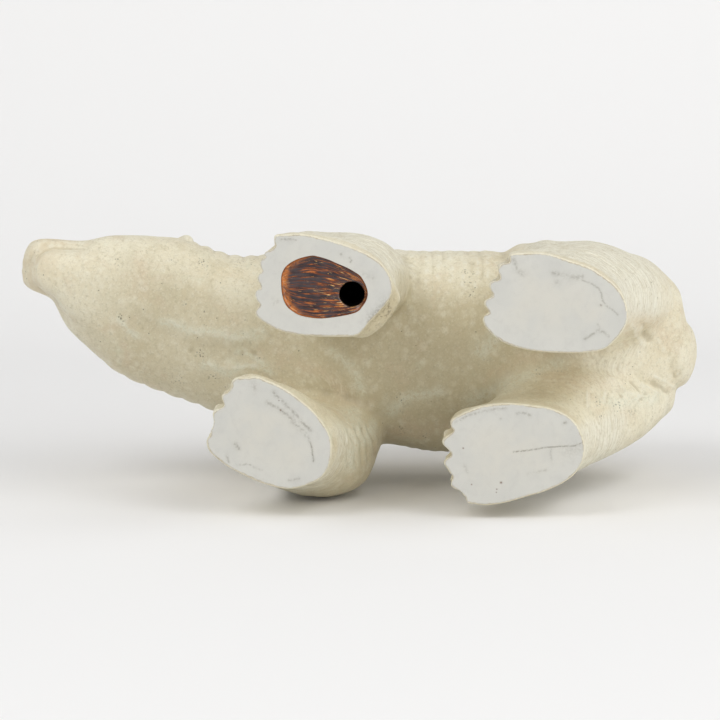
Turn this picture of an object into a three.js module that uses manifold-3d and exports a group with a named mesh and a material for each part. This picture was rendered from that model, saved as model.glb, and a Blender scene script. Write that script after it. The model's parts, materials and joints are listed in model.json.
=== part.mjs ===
// Polar bear figurine: hollow stoneware castings luted together before one firing.
// Millimetres, +Z up. The bear walks towards -Y with its left side at +X and its soles on z = 0.
import * as THREE from "three";
import { mergeVertices } from "three/addons/utils/BufferGeometryUtils.js";
import Module from "manifold-3d";

const wasm = await Module();
wasm.setup();

// Clay, joints and facets
const WALL = 6.5;
const RUMP_WALL = 9;
const MUZZLE_SOLID_LENGTH = 36;
const SLIP_GAP = 0.3;
const SOLE_THICKNESS = 6;
const LEG_SEAM_HEIGHT = 58;
const NECK_SEAM_BEHIND_NOSE = 110;
const BODY_RINGS = 42;
const BODY_RING_POINTS = 32;
const INNER_RINGS = 18;
const INNER_RING_POINTS = 18;
const RING_CROWDING_AT_ENDS = 0.45;
const LEG_RINGS = 14;
const INNER_LEG_RINGS = 7;
const SECTION_SQUARENESS = 2.25;
const FAR = 1000;

// Main sizes of the body: from the bend of the neck to the rump, across the belly and up to the back
const NECK_BEND = { x: 8.5, y: -70 };
const TRUNK_LENGTH = 235.5;
const BODY_WIDTH = 103;
const BACK_HEIGHT = 168;
const RUMP_END = NECK_BEND.y + TRUNK_LENGTH;
const WIDEST = BODY_WIDTH / 2;

// Trunk stations from the rump to the shoulders: place, half width, underside, widest height and back
const TRUNK_STATIONS = [
  { x: -4.5, y: RUMP_END, half: 15, low: 106, waist: 116, high: 128 },
  { x: -4, y: RUMP_END - 3.5, half: 29, low: 97, waist: 114, high: 139 },
  { x: -3, y: RUMP_END - 12.5, half: WIDEST - 10, low: 88, waist: 111, high: BACK_HEIGHT - 19 },
  { x: -1.5, y: RUMP_END - 26.5, half: WIDEST - 2, low: 79, waist: 109, high: BACK_HEIGHT - 10 },
  { x: 0, y: RUMP_END - 49.5, half: WIDEST, low: 72, waist: 107, high: BACK_HEIGHT - 2 },
  { x: 0, y: RUMP_END - 77.5, half: WIDEST - 0.5, low: 67, waist: 106, high: BACK_HEIGHT },
  { x: 0, y: RUMP_END - 113.5, half: WIDEST - 1.5, low: 63, waist: 104, high: BACK_HEIGHT - 4 },
  { x: 0, y: 15, half: WIDEST - 1.5, low: 62, waist: 104, high: BACK_HEIGHT - 7 },
  { x: 0, y: -18, half: WIDEST - 2.5, low: 63, waist: 105, high: BACK_HEIGHT - 5 },
  { x: 3, y: -45, half: WIDEST - 6.5, low: 66, waist: 107, high: BACK_HEIGHT - 7 },
];

// Head and neck stations, measured back from the nose along the turned head
const NOSE = { x: 46.2, y: -170 };
const HEAD_TURN = THREE.MathUtils.degToRad(22);
const HEAD_STATIONS = [
  { back: 82, half: 39, low: 73, waist: 103, high: 139 },
  { back: 66, half: 37.5, low: 71, waist: 100, high: 134.5 },
  { back: 53, half: 33.2, low: 71, waist: 97, high: 131 },
  { back: 43, half: 29, low: 73.5, waist: 95, high: 126.5 },
  { back: 36, half: 26.2, low: 77, waist: 93, high: 121 },
  { back: 30, half: 22, low: 81, waist: 92, high: 116.5 },
  { back: 23, half: 17.8, low: 83.5, waist: 91.5, high: 113.5 },
  { back: 15, half: 15.4, low: 84.5, waist: 91.5, high: 112 },
  { back: 7, half: 13, low: 85, waist: 92, high: 110.5 },
  { back: 2, half: 10.8, low: 86.5, waist: 94, high: 109 },
  { back: 0, half: 8.2, low: 89, waist: 96, high: 106.5 },
];
const NECK = { half: 41, low: 68, waist: 106, high: 149 };

// Lower jaw stations, also measured back from the nose
const JAW_STATIONS = [
  { back: 6.6, half: 4, low: 79, waist: 83, high: 87 },
  { back: 9, half: 7.4, low: 76.5, waist: 83, high: 88 },
  { back: 14, half: 10.8, low: 74.5, waist: 83, high: 90 },
  { back: 22, half: 13.6, low: 73, waist: 83, high: 92 },
  { back: 32, half: 18, low: 71.5, waist: 84, high: 95 },
  { back: 46, half: 23, low: 71, waist: 86, high: 98 },
];
const JAW_RINGS = 9;
const JAW_RING_POINTS = 22;

// Soles: five toes across a broad front, a narrower rounded heel behind
const FORE_SOLE_LENGTH = 62;
const FORE_SOLE_WIDTH = 45.8;
const HIND_SOLE_LENGTH = 66;
const HIND_SOLE_WIDTH = 44.8;
const SOLE_TAPER = 0.17;
const SOLE_EDGE_BEVEL = 0.8;
const TOE_COUNT = 5;
const TOE_DEPTH = 2;
const TOE_LOBE_POWER = 0.8;
const TOE_STEPS = 4;
const HEEL_STEPS = 12;
const BORE_FRONT_STEPS = 8;
const BORE_HEEL_STEPS = 6;
const TOE_SQUARENESS = 2.8;
const HEEL_ROUNDNESS = 2.5;

// Leg stations above the sole: height, half length, half width and how far the toes still show
const FORE_LEG_STATIONS = [
  { z: 12, length: 32.5, width: 23.6, toes: 1.1 },
  { z: 20, length: 31, width: 23.2, toes: 0.8 },
  { z: 31, length: 27.6, width: 22.4, toes: 0.2 },
  { z: 44, length: 26.5, width: 22.6, toes: 0 },
  { z: 58, length: 28, width: 23.4, toes: 0 },
  { z: 74, length: 31, width: 24.6, toes: 0 },
  { z: 90, length: 32, width: 25, toes: 0 },
  { z: 106, length: 30, width: 22.5, toes: 0 },
  { z: 122, length: 25, width: 17, toes: 0 },
  { z: 136, length: 15, width: 9, toes: 0 },
  { z: 141, length: 8, width: 4.5, toes: 0 },
];
const HIND_LEG_STATIONS = [
  { z: 12, length: 33.8, width: 23.2, toes: 1.1 },
  { z: 20, length: 32.5, width: 23, toes: 0.8 },
  { z: 31, length: 30, width: 22.6, toes: 0.2 },
  { z: 44, length: 29, width: 22.6, toes: 0 },
  { z: 58, length: 31, width: 24, toes: 0 },
  { z: 74, length: 36.5, width: 26, toes: 0 },
  { z: 90, length: 41, width: 27.2, toes: 0 },
  { z: 106, length: 41, width: 26.8, toes: 0 },
  { z: 122, length: 35, width: 23, toes: 0 },
  { z: 138, length: 24, width: 15, toes: 0 },
  { z: 148, length: 12, width: 7, toes: 0 },
];
const BORE_TOP = 118;

// Each leg runs from its foot past the elbow or hock to the shoulder or hip; turn swings the toes to +X
const ELBOW_HEIGHT = 50;
const SHOULDER_HEIGHT = 92;
const FORE_LEG = { stations: FORE_LEG_STATIONS, soleLength: FORE_SOLE_LENGTH, soleWidth: FORE_SOLE_WIDTH };
const HIND_LEG = { stations: HIND_LEG_STATIONS, soleLength: HIND_SOLE_LENGTH, soleWidth: HIND_SOLE_WIDTH };
const LEGS = [
  {
    name: "left_fore",
    ...FORE_LEG,
    foot: { x: 41.4, y: -17.1 },
    elbow: { x: 39, y: -4 },
    shoulder: { x: 36, y: -10 },
    turn: 9,
  },
  {
    name: "right_fore",
    ...FORE_LEG,
    foot: { x: -29.4, y: -41.6 },
    elbow: { x: -46, y: -20 },
    shoulder: { x: -38, y: -19 },
    turn: 26,
  },
  {
    name: "left_hind",
    ...HIND_LEG,
    foot: { x: 32.6, y: RUMP_END - 72.9 },
    elbow: { x: 31, y: RUMP_END - 58.5 },
    shoulder: { x: 27, y: RUMP_END - 48.5 },
    turn: 10,
  },
  {
    name: "right_hind",
    ...HIND_LEG,
    foot: { x: -38, y: RUMP_END - 93.2 },
    elbow: { x: -36, y: RUMP_END - 73.5 },
    shoulder: { x: -27, y: RUMP_END - 52.5 },
    turn: -5,
  },
];

// Glazed panel let into the left fore sole, with the firing vent near its heel end
const PANEL_LENGTH = 42.4;
const PANEL_WIDTH = 30;
const PANEL_NARROWING = 0.3;
const PANEL_RECESS = 1.6;
const PANEL_FORWARD = 0;
const PANEL_SIDEWAYS = 0.6;
const PANEL_POINTS = 40;
const VENT_DIAMETER = 11.8;
const VENT_BACK = 13.2;
const VENT_SIDEWAYS = -1.2;
const VENT_POINTS = 24;

// Ears, eyes and tail
const EAR_BACK = 71;
const EAR_ANGLE = THREE.MathUtils.degToRad(43);
const EAR_WIDTH = 17;
const EAR_HEIGHT = 21;
const EAR_THICKNESS = 7.5;
const EAR_CUP_DEPTH = 2.4;
const EAR_TURN = THREE.MathUtils.degToRad(20);
const EYE_BACK = 40;
const EYE_ANGLE = THREE.MathUtils.degToRad(38);
const EYE_SOCKET_DIAMETER = 7;
const EYE_SOCKET_DEPTH = 1.4;
const TAIL_WIDTH = 35;
const TAIL_LENGTH = 44;
const TAIL_THICKNESS = 19;
const TAIL_HEIGHT = 109;
const TAIL_STANDS_OUT = 7;
const TAIL_SIDEWAYS = -4;
const TAIL_LEAN = THREE.MathUtils.degToRad(14);

// Fired clay and glaze colours
const CREAM_GLAZE = { color: 0xd8d1b8, roughness: 0.55, metalness: 0 };
const BARE_CLAY = { color: 0xcccccb, roughness: 0.9, metalness: 0 };
const BROWN_GLAZE = { color: 0x4a2a1a, roughness: 0.2, metalness: 0 };

// Closed surface through rings of equally many points, with a fan on each end
function skin(rings) {
  const count = rings[0].length;
  const positions = rings.flat().flatMap((point) => point.toArray());
  const indices = [];
  for (let ring = 0; ring < rings.length - 1; ring += 1) {
    for (let i = 0; i < count; i += 1) {
      const a = ring * count + i;
      const b = ring * count + ((i + 1) % count);
      indices.push(a, b, b + count, a, b + count, a + count);
    }
  }
  for (const end of [0, rings.length - 1]) {
    const centre = positions.length / 3;
    const middle = rings[end].reduce((sum, point) => sum.add(point), new THREE.Vector3());
    positions.push(...middle.divideScalar(count).toArray());
    for (let i = 0; i < count; i += 1) {
      const edge = [end * count + i, end * count + ((i + 1) % count)];
      indices.push(centre, ...(end === 0 ? edge.reverse() : edge));
    }
  }
  const geometry = new THREE.BufferGeometry();
  geometry.setAttribute("position", new THREE.Float32BufferAttribute(positions, 3));
  geometry.setIndex(indices);
  return geometry;
}

// Volume with the sign of the winding: positive when the faces point out
function signedVolume(geometry) {
  const at = (i) => new THREE.Vector3().fromBufferAttribute(geometry.attributes.position, i);
  const index = geometry.index.array;
  let sum = 0;
  for (let i = 0; i < index.length; i += 3) {
    sum += at(index[i]).dot(at(index[i + 1]).cross(at(index[i + 2])));
  }
  return sum / 6;
}

// Solid for cutting and joining, with its faces turned outward
function solid(source) {
  const bare = source.clone();
  bare.deleteAttribute("normal");
  bare.deleteAttribute("uv");
  const geometry = mergeVertices(bare, 1e-4);
  const triVerts = Uint32Array.from(geometry.index.array);
  if (signedVolume(geometry) < 0) {
    for (let i = 0; i < triVerts.length; i += 3) {
      [triVerts[i + 1], triVerts[i + 2]] = [triVerts[i + 2], triVerts[i + 1]];
    }
  }
  const vertProperties = Float32Array.from(geometry.attributes.position.array);
  return new wasm.Manifold(new wasm.Mesh({ numProp: 3, vertProperties, triVerts }));
}

// Values between stations on a smooth curve through them, spaced by distance
function through(stations, keys, distances) {
  const values = stations.flatMap((station) => keys.map((key) => station[key]));
  const curve = new THREE.CubicInterpolant(distances, values, keys.length);
  return (distance) => {
    const found = curve.evaluate(distance);
    return Object.fromEntries(keys.map((key, i) => [key, found[i]]));
  };
}

// Distance of each station along the chain of stations
function runningDistance(stations) {
  const distances = [0];
  for (let i = 1; i < stations.length; i += 1) {
    const [a, b] = [stations[i - 1], stations[i]];
    const step = Math.hypot(b.x - a.x, b.y - a.y);
    distances.push(distances[i - 1] + step);
  }
  return distances;
}

// Place on the head's own axis, given back from the nose
function onHead(station) {
  return {
    ...station,
    x: NOSE.x - station.back * Math.sin(HEAD_TURN),
    y: NOSE.y + station.back * Math.cos(HEAD_TURN),
  };
}

const spineStations = [...TRUNK_STATIONS, { ...NECK_BEND, ...NECK }, ...HEAD_STATIONS.map(onHead)];
const spineDistances = runningDistance(spineStations);
const spineLength = spineDistances.at(-1);
const spineAt = through(spineStations, ["x", "y", "half", "low", "waist", "high"], spineDistances);
const jawStations = JAW_STATIONS.map(onHead);
const jawDistances = runningDistance(jawStations);
const jawAt = through(jawStations, ["x", "y", "half", "low", "waist", "high"], jawDistances);

// Direction of travel at a distance along a curve of stations
function headingAt(curveAt, distance, length) {
  const step = 1;
  const before = curveAt(Math.max(distance - step, 0));
  const after = curveAt(Math.min(distance + step, length));
  return new THREE.Vector3(after.x - before.x, after.y - before.y, 0).normalize();
}

// Point of a rounded section: angle 0 is the bear's left flank, a quarter turn is its back
function sectionPoint(station, heading, angle, inset) {
  const leftward = new THREE.Vector3(-heading.y, heading.x, 0);
  const share = (value) => Math.sign(value) * Math.abs(value) ** (2 / SECTION_SQUARENESS);
  const rise = angle > 0 ? station.high - station.waist : station.waist - station.low;
  const across = (station.half - inset) * share(Math.cos(angle));
  const up = (rise - inset) * share(Math.sin(angle));
  return new THREE.Vector3(station.x, station.y, station.waist + up).addScaledVector(leftward, across);
}

// Skin of the spine or jaw between two distances, set in by a wall or out by a slip gap
function bodySkin(curveAt, length, from, to, ringCount, pointCount, inset) {
  const rings = [];
  for (let ring = 0; ring < ringCount; ring += 1) {
    const share = ring / (ringCount - 1);
    const crowded = 0.5 - 0.5 * Math.cos(Math.PI * share);
    const eased = THREE.MathUtils.lerp(share, crowded, RING_CROWDING_AT_ENDS);
    const distance = THREE.MathUtils.lerp(from, to, eased);
    const heading = headingAt(curveAt, distance, length);
    const points = [];
    for (let i = 0; i < pointCount; i += 1) {
      const angle = -Math.PI + (2 * Math.PI * (i + 0.5)) / pointCount;
      points.push(sectionPoint(curveAt(distance), heading, angle, inset));
    }
    rings.push(points);
  }
  return solid(skin(rings));
}

// Distance along the spine of a place given back from the nose
function spineDistanceBehindNose(back) {
  return spineLength - back;
}

// Point on the outer skin, with the outward direction there
function onSkin(distance, angle) {
  const station = spineAt(distance);
  const heading = headingAt(spineAt, distance, spineLength);
  const point = sectionPoint(station, heading, angle, 0);
  const nearby = sectionPoint(station, heading, angle + 0.02, 0);
  const outward = new THREE.Vector3().subVectors(nearby, point).cross(heading).normalize();
  const centre = new THREE.Vector3(station.x, station.y, station.waist);
  if (outward.dot(new THREE.Vector3().subVectors(point, centre)) < 0) outward.negate();
  return { point, outward, heading };
}

// Outline of a paw on its own axes: forward towards the toes and sideways to +X
function pawOutline(length, width, toes, frontSteps, heelSteps) {
  const outline = [];
  for (let i = 0; i < frontSteps; i += 1) {
    const side = -1 + (2 * i) / frontSteps;
    const front = (1 - Math.abs(side) ** TOE_SQUARENESS) ** (1 / TOE_SQUARENESS);
    const broad = 1 + SOLE_TAPER * front ** (TOE_SQUARENESS / 2);
    const lobe = Math.abs(Math.sin((Math.PI * TOE_COUNT * (side + 1)) / 2)) ** TOE_LOBE_POWER;
    const push = toes * TOE_DEPTH * (lobe - 1) * Math.min(1, 2 * front);
    const reach = Math.hypot(front, side);
    const forward = front * length + (push * front) / reach;
    outline.push(new THREE.Vector2(forward, side * width * broad + (push * side) / reach));
  }
  for (let i = 0; i < heelSteps; i += 1) {
    const angle = (Math.PI * i) / heelSteps;
    const across = Math.sign(Math.cos(angle)) * Math.abs(Math.cos(angle)) ** (2 / HEEL_ROUNDNESS);
    const behind = Math.sin(angle) ** (2 / HEEL_ROUNDNESS);
    const narrow = 1 - SOLE_TAPER * Math.sin(angle);
    outline.push(new THREE.Vector2(-behind * length, across * width * narrow));
  }
  return outline;
}

// Outline points set down around a centre, turned by the leg's turn and lifted to a height
function placeOutline(outline, centre, turnDegrees, z) {
  const turn = THREE.MathUtils.degToRad(turnDegrees);
  const forward = new THREE.Vector3(Math.sin(turn), -Math.cos(turn), 0);
  const sideways = new THREE.Vector3(Math.cos(turn), Math.sin(turn), 0);
  return outline.map((point) =>
    new THREE.Vector3(centre.x, centre.y, z)
      .addScaledVector(forward, point.x)
      .addScaledVector(sideways, point.y),
  );
}

// Centre of a leg at a height, on a smooth path from the foot to the shoulder or hip
function legCentre(leg, z) {
  const path = new THREE.CubicInterpolant(
    [0, SOLE_THICKNESS * 2, ELBOW_HEIGHT, SHOULDER_HEIGHT, SHOULDER_HEIGHT * 2],
    [leg.foot, leg.foot, leg.elbow, leg.shoulder, leg.shoulder].flatMap((at) => [at.x, at.y]),
    2,
  );
  const [x, y] = path.evaluate(z);
  return { x, y };
}

// Skin of a leg from one height to another, set in by the wall for its bore
function legSkin(leg, from, to, ringCount, inset) {
  const sole = { z: SOLE_THICKNESS, length: leg.soleLength / 2, width: leg.soleWidth / 2, toes: 1 };
  const stations = [{ ...sole, z: 0 }, sole, ...leg.stations];
  const heights = stations.map((station) => station.z);
  const sizeAt = through(stations, ["length", "width", "toes"], heights);
  const rings = [];
  for (let ring = 0; ring < ringCount; ring += 1) {
    const z = THREE.MathUtils.lerp(from, to, ring / (ringCount - 1));
    const size = sizeAt(z);
    const steps = inset > 0 ? [BORE_FRONT_STEPS, BORE_HEEL_STEPS] : [TOE_COUNT * TOE_STEPS, HEEL_STEPS];
    const toes = inset > 0 ? 0 : Math.max(0, size.toes);
    const outline = pawOutline(size.length - inset, size.width - inset, toes, ...steps);
    const straightened = 1 - THREE.MathUtils.smoothstep(z, SOLE_THICKNESS, SHOULDER_HEIGHT);
    rings.push(placeOutline(outline, legCentre(leg, z), leg.turn * straightened, z));
  }
  return solid(skin(rings));
}

// Level slab of space between two heights
function slab(from, to) {
  const box = new THREE.BoxGeometry(FAR, FAR, to - from);
  box.translate(0, 0, (from + to) / 2);
  return solid(box);
}

// Everything on the head side of the neck seam, moved forward by a clearance
function headSide(clearance) {
  const distance = spineDistanceBehindNose(NECK_SEAM_BEHIND_NOSE);
  const at = spineAt(distance);
  const heading = headingAt(spineAt, distance, spineLength);
  const box = new THREE.BoxGeometry(FAR, FAR, FAR);
  box.translate(0, FAR / 2 + clearance, 0);
  const turned = new THREE.Quaternion().setFromUnitVectors(new THREE.Vector3(0, 1, 0), heading);
  box.applyQuaternion(turned);
  box.translate(at.x, at.y, at.waist);
  return solid(box);
}

// Egg outline of the glazed panel, narrower towards the heel
function panelOutline(inset) {
  const outline = [];
  for (let i = 0; i < PANEL_POINTS; i += 1) {
    const angle = (2 * Math.PI * i) / PANEL_POINTS;
    const narrowing = 1 - (PANEL_NARROWING * (1 - Math.cos(angle))) / 2;
    const forward = (PANEL_LENGTH / 2 - inset) * Math.cos(angle) + PANEL_FORWARD;
    const across = (PANEL_WIDTH / 2 - inset) * Math.sin(angle) * narrowing + PANEL_SIDEWAYS;
    outline.push(new THREE.Vector2(forward, across));
  }
  return outline;
}

// Straight prism of an outline on a foot's axes
function footPrism(leg, outline, from, to) {
  return solid(skin([from, to].map((z) => placeOutline(outline, leg.foot, leg.turn, z))));
}

// Sole slab with a small bevel round its lower edge
function soleSlab(leg) {
  const [length, width] = [leg.soleLength / 2, leg.soleWidth / 2];
  const steps = [TOE_COUNT * TOE_STEPS, HEEL_STEPS];
  const outlineAt = (inset) => pawOutline(length - inset, width - inset, 1, ...steps);
  const levels = [
    [0, SOLE_EDGE_BEVEL],
    [SOLE_EDGE_BEVEL, 0],
    [SOLE_THICKNESS, 0],
  ];
  const rings = levels.map(([z, inset]) => placeOutline(outlineAt(inset), leg.foot, leg.turn, z));
  return solid(skin(rings));
}

// Round vent through the panel, on the foot's axes
function ventBore(leg) {
  const outline = [];
  for (let i = 0; i < VENT_POINTS; i += 1) {
    const angle = (2 * Math.PI * i) / VENT_POINTS;
    const forward = PANEL_FORWARD - VENT_BACK + (VENT_DIAMETER / 2) * Math.cos(angle);
    const across = PANEL_SIDEWAYS + VENT_SIDEWAYS + (VENT_DIAMETER / 2) * Math.sin(angle);
    outline.push(new THREE.Vector2(forward, across));
  }
  return footPrism(leg, outline, -SOLE_THICKNESS, 2 * SOLE_THICKNESS);
}

// Rounded ear with a shallow cup in front, standing on the skin of the skull
function ear(side) {
  const angle = side > 0 ? EAR_ANGLE : Math.PI - EAR_ANGLE;
  const { point, outward, heading } = onSkin(spineDistanceBehindNose(EAR_BACK), angle);
  const disc = new THREE.SphereGeometry(1, 14, 10);
  disc.scale(EAR_WIDTH / 2, EAR_THICKNESS / 2, EAR_HEIGHT / 2);
  const cup = new THREE.SphereGeometry(1, 12, 8);
  cup.scale(EAR_WIDTH / 3, EAR_CUP_DEPTH, EAR_HEIGHT / 3);
  cup.translate(0, EAR_THICKNESS / 2, EAR_HEIGHT / 12);
  const across = new THREE.Vector3().crossVectors(heading, outward).normalize();
  const frame = new THREE.Matrix4().makeBasis(across, heading, outward);
  const swing = new THREE.Matrix4().makeRotationZ(side * EAR_TURN);
  const place = new THREE.Matrix4().makeTranslation(point).multiply(frame).multiply(swing);
  disc.applyMatrix4(place);
  cup.applyMatrix4(place);
  return solid(disc).subtract(solid(cup));
}

// Shallow socket of an eye on the side of the face
function eyeSocket(side) {
  const angle = side > 0 ? EYE_ANGLE : Math.PI - EYE_ANGLE;
  const { point, outward } = onSkin(spineDistanceBehindNose(EYE_BACK), angle);
  const socket = new THREE.SphereGeometry(EYE_SOCKET_DIAMETER / 2, 12, 8);
  const sunk = EYE_SOCKET_DIAMETER / 2 - EYE_SOCKET_DEPTH;
  socket.translate(...point.addScaledVector(outward, sunk).toArray());
  return solid(socket);
}

// Short flat tail hanging down the rump
function tail() {
  const flap = new THREE.SphereGeometry(1, 18, 12);
  flap.scale(TAIL_WIDTH / 2, TAIL_THICKNESS / 2, TAIL_LENGTH / 2);
  flap.rotateX(-TAIL_LEAN);
  flap.computeBoundingBox();
  const tip = RUMP_END + TAIL_STANDS_OUT;
  flap.translate(TAIL_SIDEWAYS, tip - flap.boundingBox.max.y, TAIL_HEIGHT);
  return solid(flap);
}

// Outer and inner skins of the whole bear
const bodySkinOf = (inset, rings, points, from, to) =>
  bodySkin(spineAt, spineLength, from, to, rings, points, inset);
const outerBody = bodySkinOf(0, BODY_RINGS, BODY_RING_POINTS, 0, spineLength);
const bodyPlusSlip = bodySkinOf(-SLIP_GAP, BODY_RINGS, BODY_RING_POINTS, 0, spineLength);
const innerEnd = spineDistanceBehindNose(MUZZLE_SOLID_LENGTH);
const innerBody = bodySkinOf(WALL, INNER_RINGS, INNER_RING_POINTS, RUMP_WALL, innerEnd);
const jaw = bodySkin(jawAt, jawDistances.at(-1), 0, jawDistances.at(-1), JAW_RINGS, JAW_RING_POINTS, 0);
const legOuters = LEGS.map((leg) => legSkin(leg, 0, leg.stations.at(-1).z, LEG_RINGS, 0));
const legBores = LEGS.map((leg) => legSkin(leg, 0, BORE_TOP, INNER_LEG_RINGS, WALL));
const cavity = legBores.reduce((whole, bore) => whole.add(bore), innerBody);

// Pieces, each cut clear of its neighbours by the slip line
const pieces = {};
const aboveLegSeam = slab(LEG_SEAM_HEIGHT + SLIP_GAP, FAR);
const outerTrunk = legOuters.reduce((whole, leg) => whole.add(leg), outerBody);
pieces.trunk = outerTrunk.subtract(cavity).intersect(aboveLegSeam).subtract(headSide(0));
pieces.head_and_neck = outerBody
  .intersect(headSide(SLIP_GAP))
  .add(jaw)
  .subtract(innerBody)
  .subtract(eyeSocket(1))
  .subtract(eyeSocket(-1));
pieces.left_ear = ear(1).subtract(bodyPlusSlip);
pieces.right_ear = ear(-1).subtract(bodyPlusSlip);
pieces.tail = tail().subtract(bodyPlusSlip);
const legSpan = slab(SOLE_THICKNESS + SLIP_GAP, LEG_SEAM_HEIGHT);
LEGS.forEach((leg, i) => {
  pieces[`${leg.name}_leg`] = legOuters[i].subtract(legBores[i]).intersect(legSpan);
  pieces[`${leg.name}_sole`] = soleSlab(leg);
});
const [panelLeg] = LEGS;
const panelOpening = footPrism(panelLeg, panelOutline(0), -SOLE_THICKNESS, 2 * SOLE_THICKNESS);
const panelSolid = footPrism(panelLeg, panelOutline(SLIP_GAP), PANEL_RECESS, SOLE_THICKNESS);
pieces.left_fore_sole = pieces.left_fore_sole.subtract(panelOpening);
pieces.stamp_panel = panelSolid.subtract(ventBore(panelLeg));

// Finish of each piece
function finishOf(name) {
  if (name === "stamp_panel") return BROWN_GLAZE;
  return name.endsWith("_sole") ? BARE_CLAY : CREAM_GLAZE;
}

// Named mesh of a piece
function meshOf(name, piece) {
  const { vertProperties, triVerts } = piece.getMesh();
  const geometry = new THREE.BufferGeometry();
  geometry.setAttribute("position", new THREE.BufferAttribute(Float32Array.from(vertProperties), 3));
  geometry.setIndex(new THREE.BufferAttribute(Uint32Array.from(triVerts), 1));
  geometry.computeVertexNormals();
  const mesh = new THREE.Mesh(geometry, new THREE.MeshStandardMaterial(finishOf(name)));
  mesh.name = name;
  return mesh;
}

// The bear stands with the middle of its outline over the origin
const bear = new THREE.Group();
for (const [name, piece] of Object.entries(pieces)) bear.add(meshOf(name, piece));
const extent = new THREE.Box3().setFromObject(bear);
const middle = extent.getCenter(new THREE.Vector3());
bear.position.set(-middle.x, -middle.y, -extent.min.z);

export default bear;
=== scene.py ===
"""Polar bear figurine in glazed stoneware, lying on its right side with its soles to the camera."""
import json
import math
import bmesh
import bpy
import numpy as np
from mathutils import Matrix, Vector
from mathutils.bvhtree import BVHTree

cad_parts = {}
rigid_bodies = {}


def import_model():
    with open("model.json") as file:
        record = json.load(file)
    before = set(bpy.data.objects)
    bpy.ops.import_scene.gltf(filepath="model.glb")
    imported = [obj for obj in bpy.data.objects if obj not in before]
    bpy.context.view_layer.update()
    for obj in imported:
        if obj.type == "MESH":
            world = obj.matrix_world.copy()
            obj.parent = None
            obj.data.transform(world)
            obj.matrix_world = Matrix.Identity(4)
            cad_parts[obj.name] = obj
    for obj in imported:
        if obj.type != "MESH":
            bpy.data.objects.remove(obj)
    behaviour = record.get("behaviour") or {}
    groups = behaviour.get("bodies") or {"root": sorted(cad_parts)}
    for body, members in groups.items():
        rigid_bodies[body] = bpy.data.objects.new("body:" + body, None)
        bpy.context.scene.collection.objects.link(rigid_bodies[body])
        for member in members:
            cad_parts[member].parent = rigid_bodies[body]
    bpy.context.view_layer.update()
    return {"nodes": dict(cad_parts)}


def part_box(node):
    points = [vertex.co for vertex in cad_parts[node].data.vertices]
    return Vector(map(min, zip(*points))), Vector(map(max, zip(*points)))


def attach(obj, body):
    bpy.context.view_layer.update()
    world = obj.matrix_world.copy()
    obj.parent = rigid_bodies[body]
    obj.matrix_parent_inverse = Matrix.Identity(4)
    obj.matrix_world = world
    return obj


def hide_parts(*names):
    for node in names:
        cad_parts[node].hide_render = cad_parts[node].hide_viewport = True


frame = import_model()
MM = 0.001

# Size of the squares in the large forms, the skin and the paws, and heights of the ankles and the seams
CAGE_GRAIN = 2.5 * MM
SKIN_GRAIN = 1.09 * MM
PAW_GRAIN = 0.75 * MM
ANKLE = 13 * MM
SOLE_SEAM = 6.15 * MM
LEG_SEAM = 58.15 * MM

# From the coordinates of the part's source to those of the frame, and the nose and the turn of the head
SHIFT = Vector((1.185, 0.279, 0)) * MM
NOSE = Vector((46.2, -170, 0)) * MM + SHIFT
HEAD_TURN = math.radians(22)

# Colours of the finishes, as red, green and blue
CREAM_TONES = {
    "pale cream": (0.79, 0.74, 0.575),
    "warm cream": (0.73, 0.655, 0.475),
    # pooled is laid both where glaze pools and as painted shade under the body and between the legs
    "pooled": (0.545, 0.475, 0.305),
    "olive": (0.56, 0.505, 0.345),
    "tan": (0.63, 0.52, 0.36),
    "green": (0.66, 0.67, 0.52),
    "bloom": (0.73, 0.735, 0.60),
    "warm": (0.66, 0.55, 0.385),
    "combed": (0.85, 0.825, 0.70),
    "curd": (0.80, 0.765, 0.62),
    "bead": (0.82, 0.79, 0.66),
    "crazing": (0.50, 0.43, 0.29),
    "shade": (0.48, 0.425, 0.28),
    "dark speck": (0.40, 0.36, 0.24),
    "pale speck": (0.83, 0.80, 0.68),
    "wide hollow": (0.47, 0.405, 0.25),
    "ridge": (0.80, 0.775, 0.65),
    "hollow": (0.45, 0.39, 0.26),
    "muzzle": (0.68, 0.585, 0.41),
    "chip": (0.56, 0.485, 0.32),
    "crumb": (0.27, 0.205, 0.115),
    "pinhole": (0.13, 0.115, 0.075),
    "pale stroke": (0.82, 0.80, 0.68),
    "dark stroke": (0.50, 0.44, 0.30),
}
CLAY_TONES = {
    "grey": (0.60, 0.596, 0.555),
    "pale": (0.63, 0.623, 0.575),
    "rubbed": (0.53, 0.52, 0.485),
    "warm": (0.655, 0.628, 0.55),
    "grain": (0.50, 0.48, 0.44),
    "dust": (0.33, 0.30, 0.25),
    "scuff": (0.27, 0.25, 0.205),
    "iron": (0.14, 0.055, 0.025),
    "stain": (0.45, 0.375, 0.245),
    "lip": (0.76, 0.71, 0.56),
}
BROWN_TONES = {
    "black": (0.030, 0.019, 0.021),
    "grey": (0.060, 0.042, 0.044),
    "red": (0.14, 0.038, 0.016),
    "rust": (0.46, 0.13, 0.022),
    "gold": (0.66, 0.34, 0.10),
    "straw": (0.80, 0.62, 0.36),
    "orange": (0.50, 0.155, 0.028),
    "bright gold": (0.72, 0.36, 0.12),
    "dark edge": (0.30, 0.085, 0.018),
    "pale edge": (0.66, 0.46, 0.24),
    # The last tone is painted shade for the vent's walls and edge
    "painted vent shade": (0.008, 0.006, 0.005),
}
# Near-black painted shade for the walls of the vent's bore, standing in for the shade deep in the hole
BORE_SHADE_TONES = {
    "bore_shade": (0.008, 0.007, 0.006),
    "lighter_bore_shade": (0.02, 0.017, 0.014),
}
PAPER_WHITE = (0.88, 0.876, 0.872)
LAMP_WHITE = (1, 0.995, 0.985)

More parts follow.
